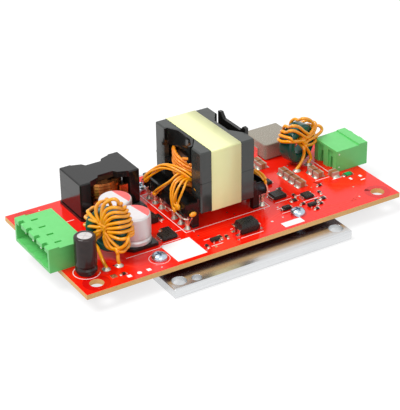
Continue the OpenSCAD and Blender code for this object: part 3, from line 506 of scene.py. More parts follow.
# Painted shade: near black copper-brown for the gaps between the coil's rope turns.
COIL_GAP_SHADE = Finish("coil_gap_shade", (0.03, 0.008, 0.002), (0.07, 0.02, 0.004))
BARE = Finish("bare_copper", (0.9, 0.45, 0.33), (0.75, 0.3, 0.2), roughness=0.25, metallic=0.8)
FERRITE = Finish("ferrite", (0.03, 0.034, 0.032), (0.045, 0.05, 0.047), roughness=0.16, scale=420,
                 bump=0.00004, specular=0.55)
DARK_FERRITE = Finish("dark_ferrite", (0.006, 0.006, 0.006), (0.014, 0.014, 0.014), roughness=0.14,
                      bump=0.00001, specular=0.4)
STRIP = Finish("flat_copper", (0.9, 0.34, 0.1), (0.6, 0.18, 0.05), roughness=0.2, metallic=0.95, scale=500)
TAPE = Finish("tape", (0.92, 0.93, 0.5), (0.87, 0.89, 0.44), roughness=0.32, scale=260, grain=Grain.BANDED)
POWDER = Finish("moulded_powder", (0.36, 0.33, 0.27), (0.27, 0.24, 0.19), roughness=0.26, metallic=0.2,
                scale=2600)
CERAMIC = Finish("fired_ceramic", (0.4, 0.155, 0.06), (0.3, 0.1, 0.04), roughness=0.35, scale=1500)
CAP_END = Finish("capacitor_end", (0.62, 0.5, 0.4), (0.45, 0.34, 0.26), roughness=0.4, metallic=0.5,
                 scale=1500)
FUSE = Finish("green_fuse", (0.0, 0.3, 0.07), (0.01, 0.45, 0.14), roughness=0.2, scale=2500)
INK = Finish("white_ink", (0.93, 0.93, 0.92), (0.86, 0.85, 0.84), scale=2500)
PAD = Finish("soft_pad", (0.4, 0.45, 0.5), (0.35, 0.4, 0.45), roughness=0.7)

NODE_FINISH = {node: finish for finish, nodes in (
    (PLATE, "heat_plate"), (SOLDER_MASK, "circuit_board"), (PAD, "thermal_pad"),
    (ZINC, "board_screws spacers"), (GREEN, "input_header output_header"),
    (TIN, "tinned_pads input_contacts output_contacts radial_capacitor_leads can_capacitor_tabs "
          "transformer_pins moulded_inductor_terminals optocoupler_leads chip_part_ends "
          "control_chip_leads diode_terminals small_transistor_leads"),
    (CHIP, "power_transistors optocoupler chip_parts control_chips diodes small_transistors"),
    (SLEEVE, "radial_capacitor_sleeve"), (CAN, "radial_capacitor_can can_capacitors"),
    (RUBBER, "radial_capacitor_bung"),
    (BLACK, "can_capacitor_bases choke_foot_plate transformer_bobbin"),
    (CORE_GREEN, "input_toroid_core output_toroid_core"),
    (ENAMEL, "input_toroid_winding output_toroid_winding transformer_winding transformer_leads"),
    (DARK_FERRITE, "choke_upper_core choke_lower_core"), (STRIP, "choke_winding choke_terminals"),
    (FERRITE, "transformer_upper_core transformer_lower_core"), (TAPE, "transformer_tape"),
    (POWDER, "moulded_inductor"), (CERAMIC, "ceramic_capacitors"), (CAP_END, "ceramic_capacitor_ends"),
) for node in nodes.split()}


@dataclass
class Paintbox:
    """Makes each finish once and hands it out."""

    made: dict = field(default_factory=dict)

    def paint(self, obj: bpy.types.Object, finish: Finish) -> bpy.types.Object:
        """Gives an object one finish all over."""
        if finish.name not in self.made:
            self.made[finish.name] = finish.build()
        obj.data.materials.clear()
        obj.data.materials.append(self.made[finish.name])
        return obj


# ---------------------------------------------------------------- sub-assemblies


@dataclass
class SubAssembly:
    """What every sub-assembly needs: the board's place and the finishes."""

    place: BoardPlace
    box: Paintbox

    def piece(self, patches: list[Patch], name: str, finish: Finish, slot: str,
              replaces: tuple[str, ...] = (), smooth: bool = True) -> bpy.types.Object:
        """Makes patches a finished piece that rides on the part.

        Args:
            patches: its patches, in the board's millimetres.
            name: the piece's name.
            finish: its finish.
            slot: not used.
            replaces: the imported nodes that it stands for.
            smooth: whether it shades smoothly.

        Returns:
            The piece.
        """
        verts, faces = gathered(patches)
        obj = mesh_object(name, self.place.points(verts), faces, smooth)
        return self.settle(obj, finish, replaces)

    def settle(self, obj: bpy.types.Object, finish: Finish,
               replaces: tuple[str, ...] = ()) -> bpy.types.Object:
        """Paints an object, lets it ride on the part and hides the imported nodes that it stands for."""
        self.box.paint(obj, finish)
        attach(obj, "root")
        if replaces:
            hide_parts(*replaces)
        LOG.info("made %s with %d faces", obj.name, len(obj.data.polygons))
        return obj

    def softened(self, node: str, name: str, finish: Finish, slot: str, width: float,
                 shortest: float = 0.0, fewest: int = 0) -> bpy.types.Object:
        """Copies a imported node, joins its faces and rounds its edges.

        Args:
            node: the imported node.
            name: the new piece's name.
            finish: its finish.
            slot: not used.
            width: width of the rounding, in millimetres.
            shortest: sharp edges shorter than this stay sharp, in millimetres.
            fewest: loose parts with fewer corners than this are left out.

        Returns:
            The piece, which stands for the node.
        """
        mesh = bpy.data.objects[node].data.copy()
        bm = bmesh.new()
        bm.from_mesh(mesh)
        bmesh.ops.remove_doubles(bm, verts=bm.verts, dist=WELD)
        bmesh.ops.dissolve_limit(bm, angle_limit=FLAT, verts=bm.verts, edges=bm.edges)
        drop_crumbs(bm, fewest)
        weight = bm.edges.layers.float.new("bevel_weight_edge")
        for edge in bm.edges:
            edge.smooth = edge.is_manifold and edge.calc_face_angle(0) < SHARP
            edge[weight] = 0.0 if edge.smooth or edge.calc_length() < shortest * MM else 1.0
        for face in bm.faces:
            face.smooth = True
        bm.to_mesh(mesh)
        bm.free()
        obj = bpy.data.objects.new(name, mesh)
        bpy.context.scene.collection.objects.link(obj)
        bevel = obj.modifiers.new("rounding", "BEVEL")
        bevel.width = width * MM
        bevel.segments = 2
        bevel.limit_method = "WEIGHT"
        bevel.harden_normals = True
        bevel.use_clamp_overlap = True
        return self.settle(obj, finish, (node,))


@dataclass
class ToroidWinding(SubAssembly):
    """An enamelled wire wound by hand round a standing toroid, with its two ends led down.

    Each loop is given by points across the ring's front face, from the hole to the rim, as
    places along the ring's width and height. The wire leaves the hole at mouth and comes
    back at entry, each a depth and a distance from the ring's axis. Odd turns lie further
    out in the hole, and back_insets hold the wire off the rim and the hole behind the ring.
    """

    core_node: str = "input_toroid_core"
    piece_name: str = "input_toroid_wire"
    winding_node: str = "input_toroid_winding"
    turn: float = -150.0
    core_d: float = 13.2
    hole_d: float = 7.2
    thickness: float = 4.8
    wire_d: float = 1.05
    front: float = 3.1
    mouth: tuple = (2.5, 2.5)
    entry: tuple = (-1.9, 2.7)
    rim_depth: float = -1.7
    back_insets: tuple = (0.6, 0.4)
    foot_heights: tuple = (-2.4, 0.5)
    hole_middle: tuple = (0.3, 0.7)
    hole_layers: tuple = (1.0, 1.9)
    wire_gap: float = 0.12
    rim_gap: float = 0.7
    solder: tuple = ((0.0, 0.75), (0.62, 0.72), (0.75, 0.4), (1.1, 0.16), (1.35, 0.03), (0.0, 0.03))
    loops: tuple = (
        ((-0.9, 0.6), (-1.9, -1.2), (-5.6, -5.0)),
        ((-0.2, 1.3), (-2.1, -0.1), (-6.4, -3.4)),
        ((0.1, 2.2), (-3.3, 1.4), (-8.0, -0.9)),
        ((-1.5, 3.4), (-3.2, 3.4), (-7.6, 1.8)),
        ((0.2, 2.7), (-2.1, 3.8), (-4.1, 5.2), (-5.0, 5.7), (-5.8, 4.9)),
        ((-0.9, 3.7), (-1.8, 6.1), (-1.6, 8.4), (-0.8, 9.7), (-0.9, 8.9)),
        ((0.1, 4.2), (0.1, 6.9), (0.8, 9.4), (2.6, 11.4), (4.4, 12.2), (5.2, 11.3), (3.9, 8.7)),
        ((0.3, 4.7), (1.4, 7.8), (3.2, 9.2), (5.0, 9.5), (5.2, 7.9)),
        ((1.0, 4.6), (2.0, 6.5), (3.7, 7.7), (5.5, 8.1), (5.8, 6.9)),
        ((1.6, 4.2), (3.5, 6.1), (5.4, 6.8), (6.4, 5.8)),
        ((1.9, 3.3), (3.7, 4.2), (5.9, 5.0), (6.8, 4.4)),
        ((2.2, 2.2), (4.0, 2.8), (6.1, 3.5), (7.1, 3.1)),
        ((2.1, 1.1), (3.9, 1.4), (6.0, 1.8), (7.2, 1.4)),
        ((2.4, 0.3), (3.8, -0.2), (5.6, -0.4), (7.1, -0.1), (7.0, -0.7)),
        ((0.7, -0.5), (0.6, -2.1), (1.3, -3.9), (3.1, -4.3), (5.5, -3.5), (7.2, -2.1), (7.9, -0.5),
         (6.9, 0.1)),
        ((1.0, 2.6), (0.6, 1.2), (1.7, -0.5), (3.1, -2.2), (4.8, -3.7), (5.3, -5.5)),
        ((0.7, 0.9), (1.3, -1.6), (2.5, -3.8), (4.7, -4.6), (6.2, -4.7), (5.9, -5.0)),
    )
    first_foot: tuple = (-43.8, -17.4)
    last_foot: tuple = (-39.7, -17.6)
    first_lead: tuple = ((5.6, 1.7, -8.3), (4.2, -0.2, -7.1), (3.3, -1.7, -5.3), (2.4, -3.2, -3.6))
    last_lead: tuple = ((3.6, 5.2, -7.0), (3.3, 5.0, -5.6), (3.1, 4.6, -4.0))

    def centre(self) -> Array:
        """The ring's centre in board millimetres."""
        low, high = self.place.box(self.core_node)
        return (low + high) / 2

    def spin(self) -> Array:
        """The matrix that turns row vectors of the ring to the board."""
        c, s = math.cos(math.radians(self.turn)), math.sin(math.radians(self.turn))
        return np.array([[c, s, 0], [-s, c, 0], [0, 0, 1]])

    def loop(self, across: Array, number: int) -> Array:
        """One turn: out of the hole, over the front face and the rim, and back behind.

        The depth over the front face is front * sqrt(1 - t^4), so that it falls to the
        ring's middle at the rim. Behind the ring the wire runs straight to the hole.

        Args:
            across: points over the front face from the hole to the rim.
            number: place of the turn in the winding, which layers it in the hole.

        Returns:
            Points in the ring's own place.
        """
        across = np.asarray(across, float)
        t = np.linspace(0, 1, len(across))
        face = np.column_stack([self.front * np.sqrt(1 - t**4), across])
        rim = across[-1]
        out = rim / np.linalg.norm(rim)
        hole = np.array(self.hole_middle) + out * self.hole_layers[number % 2]
        (depth, reach), (entry_depth, entry_reach) = self.mouth, self.entry
        from_rim, from_hole = self.back_insets
        back = -self.thickness / 2 - self.wire_d / 2 - self.wire_gap
        outer = max(self.core_d / 2 + self.rim_gap, 0.97 * float(np.linalg.norm(rim)))
        return np.vstack([
            [0, *hole], [depth, *(unit(across[0]) * reach)], face,
            [self.rim_depth, *(out * outer)], [back, *(out * (self.core_d / 2 - from_rim))],
            [back, *(out * (self.hole_d / 2 + from_hole))], [entry_depth, *(out * entry_reach)]])

    def path(self) -> Array:
        """The whole wire, from under the board round the ring and back."""
        rows = [self.loop(np.array(points), k) for k, points in enumerate(self.loops)]
        coil, first, last = (np.vstack(part) @ self.spin() + self.centre()
                             for part in (rows, self.first_lead, self.last_lead[::-1]))
        start = [[*self.first_foot, z] for z in self.foot_heights]
        end = [[*self.last_foot, z] for z in self.foot_heights[::-1]]
        return through(np.vstack([start, first, coil, last, end]), 7)

    def build(self) -> None:
        """Builds the wire and the solder round its two ends."""
        wire = tube(self.path(), self.wire_d / 2, 12, (0.3, 0.2, 1.0))
        self.piece([wire], self.piece_name, ENAMEL, "enamelled_copper", (self.winding_node,))
        joints = [revolved(self.solder, foot, 28) for foot in (self.first_foot, self.last_foot)]
        self.piece(joints, self.piece_name + "_solder", SOLDER, "tin")


@dataclass
class OutputToroidWinding(ToroidWinding):
    """The looser winding of the toroid by the output header."""

    core_node: str = "output_toroid_core"
    piece_name: str = "output_toroid_wire"
    winding_node: str = "output_toroid_winding"
    turn: float = -74.0
    core_d: float = 13.0
    loops: tuple = (
        ((-0.2, 1.6), (-3.0, 2.3), (-6.7, 3.5), (-7.3, 2.9)),
        ((-1.0, 1.9), (-5.7, 3.4), (-6.8, 4.7), (-6.6, 4.4)),
        ((0.9, 2.1), (-2.3, 4.8), (-5.1, 6.8), (-6.9, 7.3), (-5.6, 5.5)),
        ((1.7, 3.1), (-0.3, 4.9), (-3.1, 7.5), (-5.4, 8.5), (-4.3, 6.9)),
        ((0.5, 2.1), (2.0, 2.7), (4.1, 3.8), (4.5, 5.6), (2.7, 7.8), (0.2, 9.0), (0.6, 7.6)),
        ((1.5, 1.9), (2.5, 2.0), (4.5, 2.6), (5.8, 4.2), (6.0, 5.4), (6.6, 4.9)),
        ((0.2, 0.6), (2.1, 0.8), (5.3, 0.9), (8.4, 1.4), (9.2, 2.3), (8.2, 3.5), (7.8, 2.9)),
        ((-0.2, 0.5), (2.2, -0.9), (4.9, -1.2), (6.9, -0.2), (7.4, 0.7)),
    )
    first_foot: tuple = (36.47, 2.75)
    last_foot: tuple = (42.05, 4.35)
    first_lead: tuple = ((3.6, -3.6, -6.4), (3.5, -1.4, -4.6), (3.4, -0.5, -2.6), (3.2, -0.8, -0.6))
    last_lead: tuple = ((3.7, 2.6, -5.6), (3.5, 2.2, -3.8), (3.3, 1.1, -1.8), (3.1, 0.1, 0.0))


@dataclass
class Transformer(SubAssembly):
    """Core, tape, bobbin, rope-wound coil and the strands that leave it.

    Each bundle gives its number of strands, how far they lie from its middle, and its way.
    Each knot gives its place and its three half sizes, and each end its wire and its way.
    """

    spot: tuple[float, float] = (1.2, 1.4)
    seam_width: float = 0.13
    leg_middle: float = 2.2
    leg_depth: float = 4.44
    tape_corner: float = 0.6
    tape_edge: float = 0.14
    turn_spacing: float = 1.12
    slant: float = 0.22
    drum_inset: tuple[float, float, float] = (0.7125, 1.4, 0.3)
    wobble: tuple[float, float] = (0.12, 0.37)
    crossings: tuple[float, float] = (0.5, 1.25)
    crossing_arc: tuple[float, float] = (196, 246)
    wrap_reach: float = 0.62
    wrap_wire: float = 0.38
    knot_ripple: float = 0.16
    pin_solder: tuple = ((0.0, 1.3), (0.47, 1.25), (0.6, 0.7), (0.9, 0.25), (1.05, 0.03), (0.0, 0.03))
    strand_d: float = 0.7
    rope_d: float = 0.95
    pin_d: float = 0.8
    pin_pitch: float = 3.81
    bundles: tuple = (
        (6, 0.85, ((-5.6, -5.6, 12.8), (-7.4, -5.2, 13.8), (-9.0, -3.0, 15.0), (-10.6, 0.9, 15.4),
                   (-11.6, 4.3, 14.6), (-12.8, 7.5, 12.3), (-13.9, 9.9, 9.8), (-14.4, 10.9, 8.2))),
        (2, 0.36, ((-8.0, -1.6, 14.6), (-10.8, -1.9, 14.2), (-12.6, -1.3, 12.4), (-13.6, 1.0, 10.0),
                   (-14.3, 4.2, 7.0), (-14.3, 5.4, 5.8))),
        (1, 0.0, ((-8.8, -2.4, 13.4), (-11.0, -2.6, 12.2), (-12.4, -1.6, 10.4), (-12.6, -1.2, 9.2))),
        (3, 0.42, ((-8.4, -3.8, 13.6), (-10.8, -4.2, 14.2), (-13.0, -4.4, 12.8), (-14.1, -4.7, 9.6),
                   (-14.2, -5.2, 6.6), (-14.2, -6.0, 5.4))),
        (2, 0.34, ((-7.6, -5.0, 13.4), (-10.8, -6.2, 14.4), (-13.0, -6.9, 13.0), (-14.2, -6.8, 10.4),
                   (-14.3, -6.6, 8.0), (-14.2, -7.6, 7.2))),
        (1, 0.0, ((-7.4, -5.6, 13.0), (-10.2, -7.2, 14.4), (-12.3, -9.1, 14.0), (-13.2, -9.2, 12.4),
                  (-13.9, -8.4, 9.6), (-14.1, -7.9, 8.0))),
        (3, 0.42, ((-5.4, -6.6, 11.0), (-7.0, -6.4, 11.4), (-7.7, -8.2, 11.2), (-7.2, -9.8, 10.4))),
        (4, 0.5, ((8.6, -5.6, 13.0), (11.0, -6.2, 12.6), (13.2, -7.4, 11.4), (14.6, -9.4, 10.2),
                  (15.1, -10.8, 9.0))),
        (3, 0.42, ((8.6, 6.4, 12.6), (11.6, 6.8, 13.2), (14.2, 7.6, 12.2), (16.1, 8.7, 9.6), (16.5, 9.2, 6.6),
                   (16.2, 9.1, 4.8))),
    )
    knots: tuple = (
        ((-14.2, -8.0, 7.2), (0.7, 0.95, 1.1)), ((-14.3, -6.3, 5.3), (0.5, 0.6, 0.8)),
        ((-11.2, -11.75, 5.4), (1.2, 0.5, 0.75)), ((-14.3, 11.0, 7.9), (0.65, 0.8, 0.9)),
        ((-14.4, 5.6, 5.5), (0.5, 0.9, 0.7)), ((15.1, -11.1, 8.4), (0.5, 0.5, 0.8)),
    )
    bare_ends: tuple = (
        (0.5, ((-13.9, -11.3, 4.6), (-13.2, -10.9, 3.6), (-12.6, -10.3, 2.2))),
        (0.4, ((-12.8, -11.9, 4.5), (-12.6, -11.2, 3.4), (-12.3, -10.6, 1.8))),
        (0.4, ((-11.6, -11.9, 4.4), (-11.9, -11.2, 3.0), (-12.1, -10.6, 1.4))),
        (0.45, ((-14.2, -1.4, 4.0), (-14.2, -3.2, 4.2), (-14.0, -4.8, 4.2), (-13.3, -5.4, 3.6))),
        (0.35, ((-14.4, 11.4, 7.4), (-14.7, 11.9, 5.6), (-14.4, 11.2, 4.6), (-13.2, 12.2, 3.4),
                (-12.7, 12.7, 2.4))),
        (0.35, ((-14.2, 9.6, 6.2), (-14.5, 9.8, 4.6), (-13.8, 9.4, 3.0), (-12.8, 8.9, 2.2))),
        (0.35, ((-14.3, 5.0, 5.2), (-14.1, 4.9, 3.8), (-13.0, 5.1, 2.6))),
        (0.4, ((-14.2, 2.4, 5.0), (-13.9, 1.6, 3.6), (-13.1, 1.4, 2.6), (-12.9, -1.6, 2.4))),
        (0.4, ((15.1, -11.2, 8.0), (15.4, -11.7, 6.0), (15.1, -11.5, 4.2), (14.8, -10.6, 2.6))),
        (0.35, ((15.2, -10.9, 8.4), (15.7, -11.2, 6.6), (15.6, -11.0, 4.6), (14.9, -10.2, 2.4))),
        (0.3, ((15.0, -8.6, 9.2), (16.3, -9.6, 7.6), (16.2, -10.8, 4.6), (15.0, -10.4, 2.0))),
    )
    tinned_ends: tuple = (
        (0.45, ((-14.1, -4.9, 8.2), (-14.2, -5.2, 6.2), (-14.1, -6.5, 4.7), (-14.0, -9.3, 4.2),
                (-13.9, -11.4, 4.4), (-13.0, -12.0, 4.4))),
        (0.35, ((-14.6, 11.6, 8.4), (-14.9, 12.3, 7.2), (-14.8, 11.8, 5.4), (-14.2, 10.6, 4.4))),
        (0.3, ((-14.3, -0.6, 3.4), (-14.0, -0.4, 2.6), (-13.1, -0.2, 1.6))),
    )

    def core(self) -> None:
        """Softens the core halves and the bobbin."""
        self.softened("transformer_upper_core", "upper_core_half", FERRITE, "ferrite", 0.12)
        self.softened("transformer_lower_core", "lower_core_half", FERRITE, "ferrite", 0.12)
        self.softened("transformer_bobbin", "bobbin", BLACK, "black_plastic", 0.1, fewest=60)

    def seam(self) -> None:
        """Draws the joint of the two core halves as a fine dark line across the outer legs."""
        low, high = self.place.box("transformer_upper_core")
        size = (self.leg_depth, high[1] - low[1] + 0.04, self.seam_width)
        lines = [block((x, (low[1] + high[1]) / 2), size, low[2] - self.seam_width / 2)
                 for x in (low[0] + self.leg_middle, high[0] - self.leg_middle)]
        self.piece(lines, "core_seam", DARK_FERRITE, "ferrite", smooth=False)

    def tape(self) -> None:
        """Wraps the tape: a closed strip round a rounded rectangle, with thin edges."""
        low, high = self.place.box("transformer_tape")
        r = self.tape_corner
        (y0, z0), (y1, z1) = low[1:] + r, high[1:] - r
        corner = np.radians(np.linspace(0, 90, 9))
        loop = np.vstack([
            round_points(middle, r, corner + k * math.pi / 2)
            for k, middle in enumerate(((y1, z1), (y0, z1), (y0, z0), (y1, z0)))])
        inner = loop - unit(loop - (low[1:] + high[1:]) / 2) * self.tape_edge
        rows = [np.column_stack([np.full(len(line), x), line])
                for x, line in ((low[0], inner), (low[0], loop), (high[0], loop), (high[0], inner))]
        strip = (np.vstack(rows), grid_faces(4, len(loop)))
        self.piece([strip], "core_tape", TAPE, "tape", ("transformer_tape",))

    def coil(self) -> None:
        """Winds a twisted rope in a slanting helix, with two turns that cross over its top.

        The helix is (R cos t, R sin t, z0 + pitch t / 2 pi + slant R sin t), held between
        the bobbin's flanges.
        """
        low, high = self.place.box("transformer_winding")
        outer = (high[0] - low[0]) / 2
        r = self.rope_d / 2
        pitch = self.rope_d * self.turn_spacing
        turns = (high[2] - low[2] - self.rope_d) / pitch
        inset, top, foot = self.drum_inset
        profile = [(0.0, high[2] - top), (outer - inset, high[2] - top),
                   (outer - inset, low[2] + foot), (0.0, low[2] + foot)]
        # A drum of painted shade inside the rope, which shows dark between its turns.
        self.piece([revolved(profile, self.spot, 64)], "coil_inner_layer", COIL_GAP_SHADE, "enamelled_copper")
        t = np.linspace(0, 2 * np.pi * turns, int(turns * 150))
        reach = outer - r + self.wobble[0] * np.sin(t * self.wobble[1])
        rise = low[2] + r + t / (2 * np.pi) * pitch + self.slant * reach * np.sin(t)
        path = [round_points(self.spot, reach, t), np.clip(rise, low[2] + r, high[2] - r)]
        ropes = [tube(np.column_stack(path), r, 20, lobes=4, lobe_depth=0.26, twist=0.18)]
        for k, lift in enumerate(self.crossings):
            first, last = self.crossing_arc
            a = np.radians(np.linspace(first + 6 * k, last, 12))
            rise = high[2] - 0.6 + lift * np.sin(np.linspace(0, np.pi, 12)) - 0.5 * k
            path = [round_points(self.spot, outer - 0.2 - 0.75 * k, a), rise]
            ropes.append(tube(np.column_stack(path), r * 0.9, 16, lobes=5, lobe_depth=0.16, twist=0.3))
        self.piece(ropes, "coil_rope", LITZ, "enamelled_copper", ("transformer_winding",))

    def strands(self, count: int, spread: float, points: Array) -> list[Patch]:
        """Makes a bundle: strands that run side by side and turn slowly round its middle.

        Args:
            count: how many strands it has.
            spread: distance of a strand from the middle.
            points: places along the bundle's middle, on the board.

        Returns:
            One patch for each strand.
        """
        path = through(points, 9)
        _, side, other = carried_frame(path, (0.0, 1.0, 0.0))
        s = np.linspace(0, 1, len(path))
        wires = []
        for k in range(count):
            a = 2 * np.pi * (k / count + 0.3 * s) + 0.4
            wave = 1 + 0.25 * np.sin(9 * s + 2 * k)
            off = (spread * wave)[:, None] * (side * np.cos(a)[:, None] + other * np.sin(a)[:, None])
            wires.append(tube(path + off, self.strand_d / 2, 10, (0, 1, 0)))
        return wires

    def lump(self, centre: Array, size: Array) -> Patch:
        """Makes a knotted lump: an ellipsoid whose radius ripples with both angles."""
        rows, cols = 14, 22
        a = np.linspace(0, 2 * np.pi, cols, endpoint=False)
        b = np.linspace(0.02, np.pi - 0.02, rows)[:, None]
        ripple = 1 + self.knot_ripple * np.sin(5 * a + 3 * b) * np.sin(4 * b)
        ball = np.stack([np.sin(b) * np.cos(a), np.sin(b) * np.sin(a), np.cos(b) * np.ones_like(a)], -1)
        verts = np.asarray(centre) + ball * ripple[..., None] * np.asarray(size)
        return verts.reshape(-1, 3), [face[::-1] for face in closed_faces(rows, cols)]

    def leads(self) -> None:
        """Leads the strands over the trays: loose bundles, knots and bare ends at the pins."""
        skin = [strand for row in self.bundles for strand in self.strands(*row)]
        skin += [self.lump(*row) for row in self.knots]
        self.piece(skin, "lead_bundles", ENAMEL, "enamelled_copper", ("transformer_leads",))
        for ends, name, finish, slot in ((self.bare_ends, "bare_wire_ends", BARE, "enamelled_copper"),
                                         (self.tinned_ends, "tinned_wire_ends", SOLDER, "tin")):
            wires = [tube(through(points, 7), width / 2, 8, (0, 1, 0)) for width, points in ends]
            self.piece(wires, name, finish, slot)

    def pins(self) -> None:
        """Wraps the bare wire round each pin and sets its solder on the board."""
        low, high = self.place.box("transformer_pins")
        wraps, cones = [], []
        inset = self.pin_d / 2
        for n, x in enumerate((low[0] + inset, high[0] - inset)):
            for k in (-3, -2, -1, 1, 2, 3):
                y = self.spot[1] + k * self.pin_pitch
                t = np.linspace(0, 2 * np.pi * (3.4 + 0.5 * math.sin(k)), 60)
                reach = self.wrap_reach + 0.05 * np.sin(3 * t)
                foot = 1.5 + 0.5 * math.sin(2.3 * k + n)
                path = np.column_stack([round_points((x, y), reach, t), foot + 0.075 * t])
                wraps.append(tube(path, self.wrap_wire / 2, 8))
                cones.append(revolved(self.pin_solder, (x, y), 20))
        self.piece(wraps, "pin_wraps", BARE, "enamelled_copper")
        self.piece(cones, "pin_solder", SOLDER, "tin")

    def build(self) -> None:
        """Builds every piece of the transformer."""
        self.core()
        self.seam()
        self.tape()
        self.coil()
        self.leads()
        self.pins()


@dataclass
class Headers(SubAssembly):
    """The two plug-in headers with rounded edges.

    The output header also gets the filling between its lip's parts, from the ceiling up,
    and two small pale moulding marks on its side.
    """

    pitch: float = 5.08
    ceiling: float = 6.3
    lip_inset: float = 0.76
    filling: tuple[float, float] = (1.48, 1.62)
    mark: tuple[float, float, float] = (0.42, 0.04, 0.42)
    mark_inset: float = 1.0
    mark_heights: tuple[float, float] = (1.4, 5.9)

    def build(self) -> None:
        """Softens both housings and adds the output header's filling and marks."""
        self.softened("input_header", "input_header_housing", GREEN, "green_plastic", 0.12, shortest=3.0)
        self.softened("output_header", "output_header_housing", GREEN, "green_plastic", 0.12, shortest=3.0)
        low, high = self.place.box("output_header")
        size = (*self.filling, high[2] - self.ceiling)
        x, y = high[0] - self.lip_inset, (low[1] + high[1]) / 2
        lip = [block((x, y + side * self.pitch), size, self.ceiling) for side in (-0.5, 0.5)]
        marks = [block((low[0] + self.mark_inset, low[1]), self.mark, rise) for rise in self.mark_heights]
        self.piece(lip, "output_header_lip", GREEN, "green_plastic", smooth=False)
        self.piece(marks, "output_header_gates", INK, "green_plastic", smooth=False)


@dataclass
class PlainBodies(SubAssembly):
    """The heat plate, screws, moulded inductor and choke core with broken edges."""

    def build(self) -> None:
        """Softens each body."""
        self.softened("heat_plate", "heat_spreader", PLATE, "plate", 0.15)
        self.softened("board_screws", "pan_head_screws", ZINC, "zinc_steel", 0.1)
        self.softened("moulded_inductor", "moulded_inductor_body", POWDER, "moulded_powder", 0.15)
        self.softened("choke_upper_core", "choke_upper_half", DARK_FERRITE, "dark_ferrite", 0.15)
        self.softened("choke_lower_core", "choke_lower_half", DARK_FERRITE, "dark_ferrite", 0.15)


@dataclass
class Cans(SubAssembly):
    """The two surface mounted cans: their lacquered tops with a coloured segment."""

    can_d: float = 10.0
    spots: tuple = ((-29.5, -8.7), (-29.8, 2.1))
    segment: float = 66.0
    turn: float = 8.0
    inset: float = 0.42
    lacquer: tuple[float, float] = (0.005, 0.05)

    def build(self) -> None:
        """Lays the two parts of the lacquer on each can, parted along a straight line."""
        _, high = self.place.box("can_capacitors")
        low, top = (high[2] + rise for rise in self.lacquer)
        first, last = self.turn - self.segment, self.turn + self.segment
        for name, finish, start, end, steps in (("can_tops", CAN_TOP, last, first + 360, 48),
                                                ("can_segments", CAN_MARK, first, last, 24)):
            discs = [slab(ring_points(spot, self.can_d / 2 - self.inset, start, end, steps), low, top)
                     for spot in self.spots]
            self.piece(discs, name, finish, "can_aluminium", smooth=False)


@dataclass
class SmallParts(SubAssembly):
    """Rounded bodies of the chip parts and the solder that holds them.

    Each capacitor gives its place and turn, and each chip its length and width as well.
    """

    caps: tuple = ((31.8, 3.4, 0), (31.8, 0.2, 0), (31.8, -3.0, 0), (31.8, -6.2, 0), (40.1, -0.95, 0),
                   (40.1, -4.1, 0), (44.4, -6.4, 90), (28.3, 10.85, 0), (28.5, 13.8, 0))
    cap_size: tuple = (2.5, 2.4)
    cap_solder: tuple = (0.9, 0.75)
    chip_solder: tuple = (0.35, 0.4)
    fuse_spot: tuple = (48.5, -8.3)
    fuse_size: tuple = (2.0, 1.64, 0.6)
    chips: tuple = (
        (-18.2, -7.1, 0, 3.2, 1.6), (-15.8, 0.4, 90, 3.2, 1.2), (24.4, -13.2, 0, 2, 1.25),
        (26.2, -10.6, 90, 1.6, 0.8), (48.5, -8.3, 0, 3.2, 1.6), (-6.9, -20, 90, 2, 1),
        (-5, -20.8, 90, 1.6, 0.8), (-12.8, -22.3, 90, 1.6, 0.8), (25.4, -16.6, 0, 1.6, 0.8),
        (30.2, -17, 90, 1.6, 0.8), (27.3, -21.3, 0, 1.6, 0.8), (30.2, -19.2, 0, 1.6, 0.8),
        (34, -13.3, 90, 1.6, 0.8), (32.6, -16.9, 0, 2, 1.25), (-41, -22.5, 0, 1.6, 0.8),
        (24.6, -4.6, 0, 1.6, 0.8), (36.6, -9.5, 0, 1.6, 0.8))

    def fillets(self, x: float, y: float, turn: float, length: float, width: float,
                rise: float, reach: float) -> list[Patch]:
        """Makes a wedge of solder at both ends of a chip part.

        The section falls from rise at the part's end to the board as rise * (1 - u)^2.2.

        Args:
            x: the part's place along the board.
            y: its place across the board.
            turn: its turn in degrees.
            length: its length.
            width: its width.
            rise: height of the solder on the part's end.
            reach: how far the solder runs out.

        Returns:
            The two wedges.
        """
        u = np.linspace(0, 1, 6)
        out = np.concatenate([length / 2 - 0.15 + (reach + 0.15) * u, [length / 2 - 0.15]])
        up = np.concatenate([0.02 + rise * (1 - u)**2.2, [0.02]])
        c, s = math.cos(math.radians(turn)), math.sin(math.radians(turn))
        wedges = []
        for side in (-1, 1):
            along = out * side
            rows = [np.column_stack([x + along * c - across * s, y + along * s + across * c, up])
                    for across in (-width / 2 * side, width / 2 * side)]
            wedges.append((np.vstack(rows), closed_faces(2, len(out))))
        return wedges

    def build(self) -> None:
        """Softens the bodies, lays the solder and adds the fuse's coloured body."""
        self.softened("ceramic_capacitors", "ceramic_bodies", CERAMIC, "chip_ceramic", 0.06)
        self.softened("ceramic_capacitor_ends", "ceramic_ends", CAP_END, "tin", 0.06)
        self.softened("optocoupler", "optocoupler_body", CHIP, "black_plastic", 0.08)
        self.softened("control_chips", "control_chip_bodies", CHIP, "black_plastic", 0.05)
        self.softened("diodes", "diode_bodies", CHIP, "black_plastic", 0.05)
        rows = [(*row, *self.cap_size, *self.cap_solder) for row in self.caps]
        rows += [(*row, *self.chip_solder) for row in self.chips]
        solder = [wedge for row in rows for wedge in self.fillets(*row)]
        self.piece(solder, "solder_fillets", SOLDER, "tin")
        fuse = block(self.fuse_spot, self.fuse_size, 0.0)
        self.piece([fuse], "fuse_body", FUSE, "black_plastic", smooth=False)


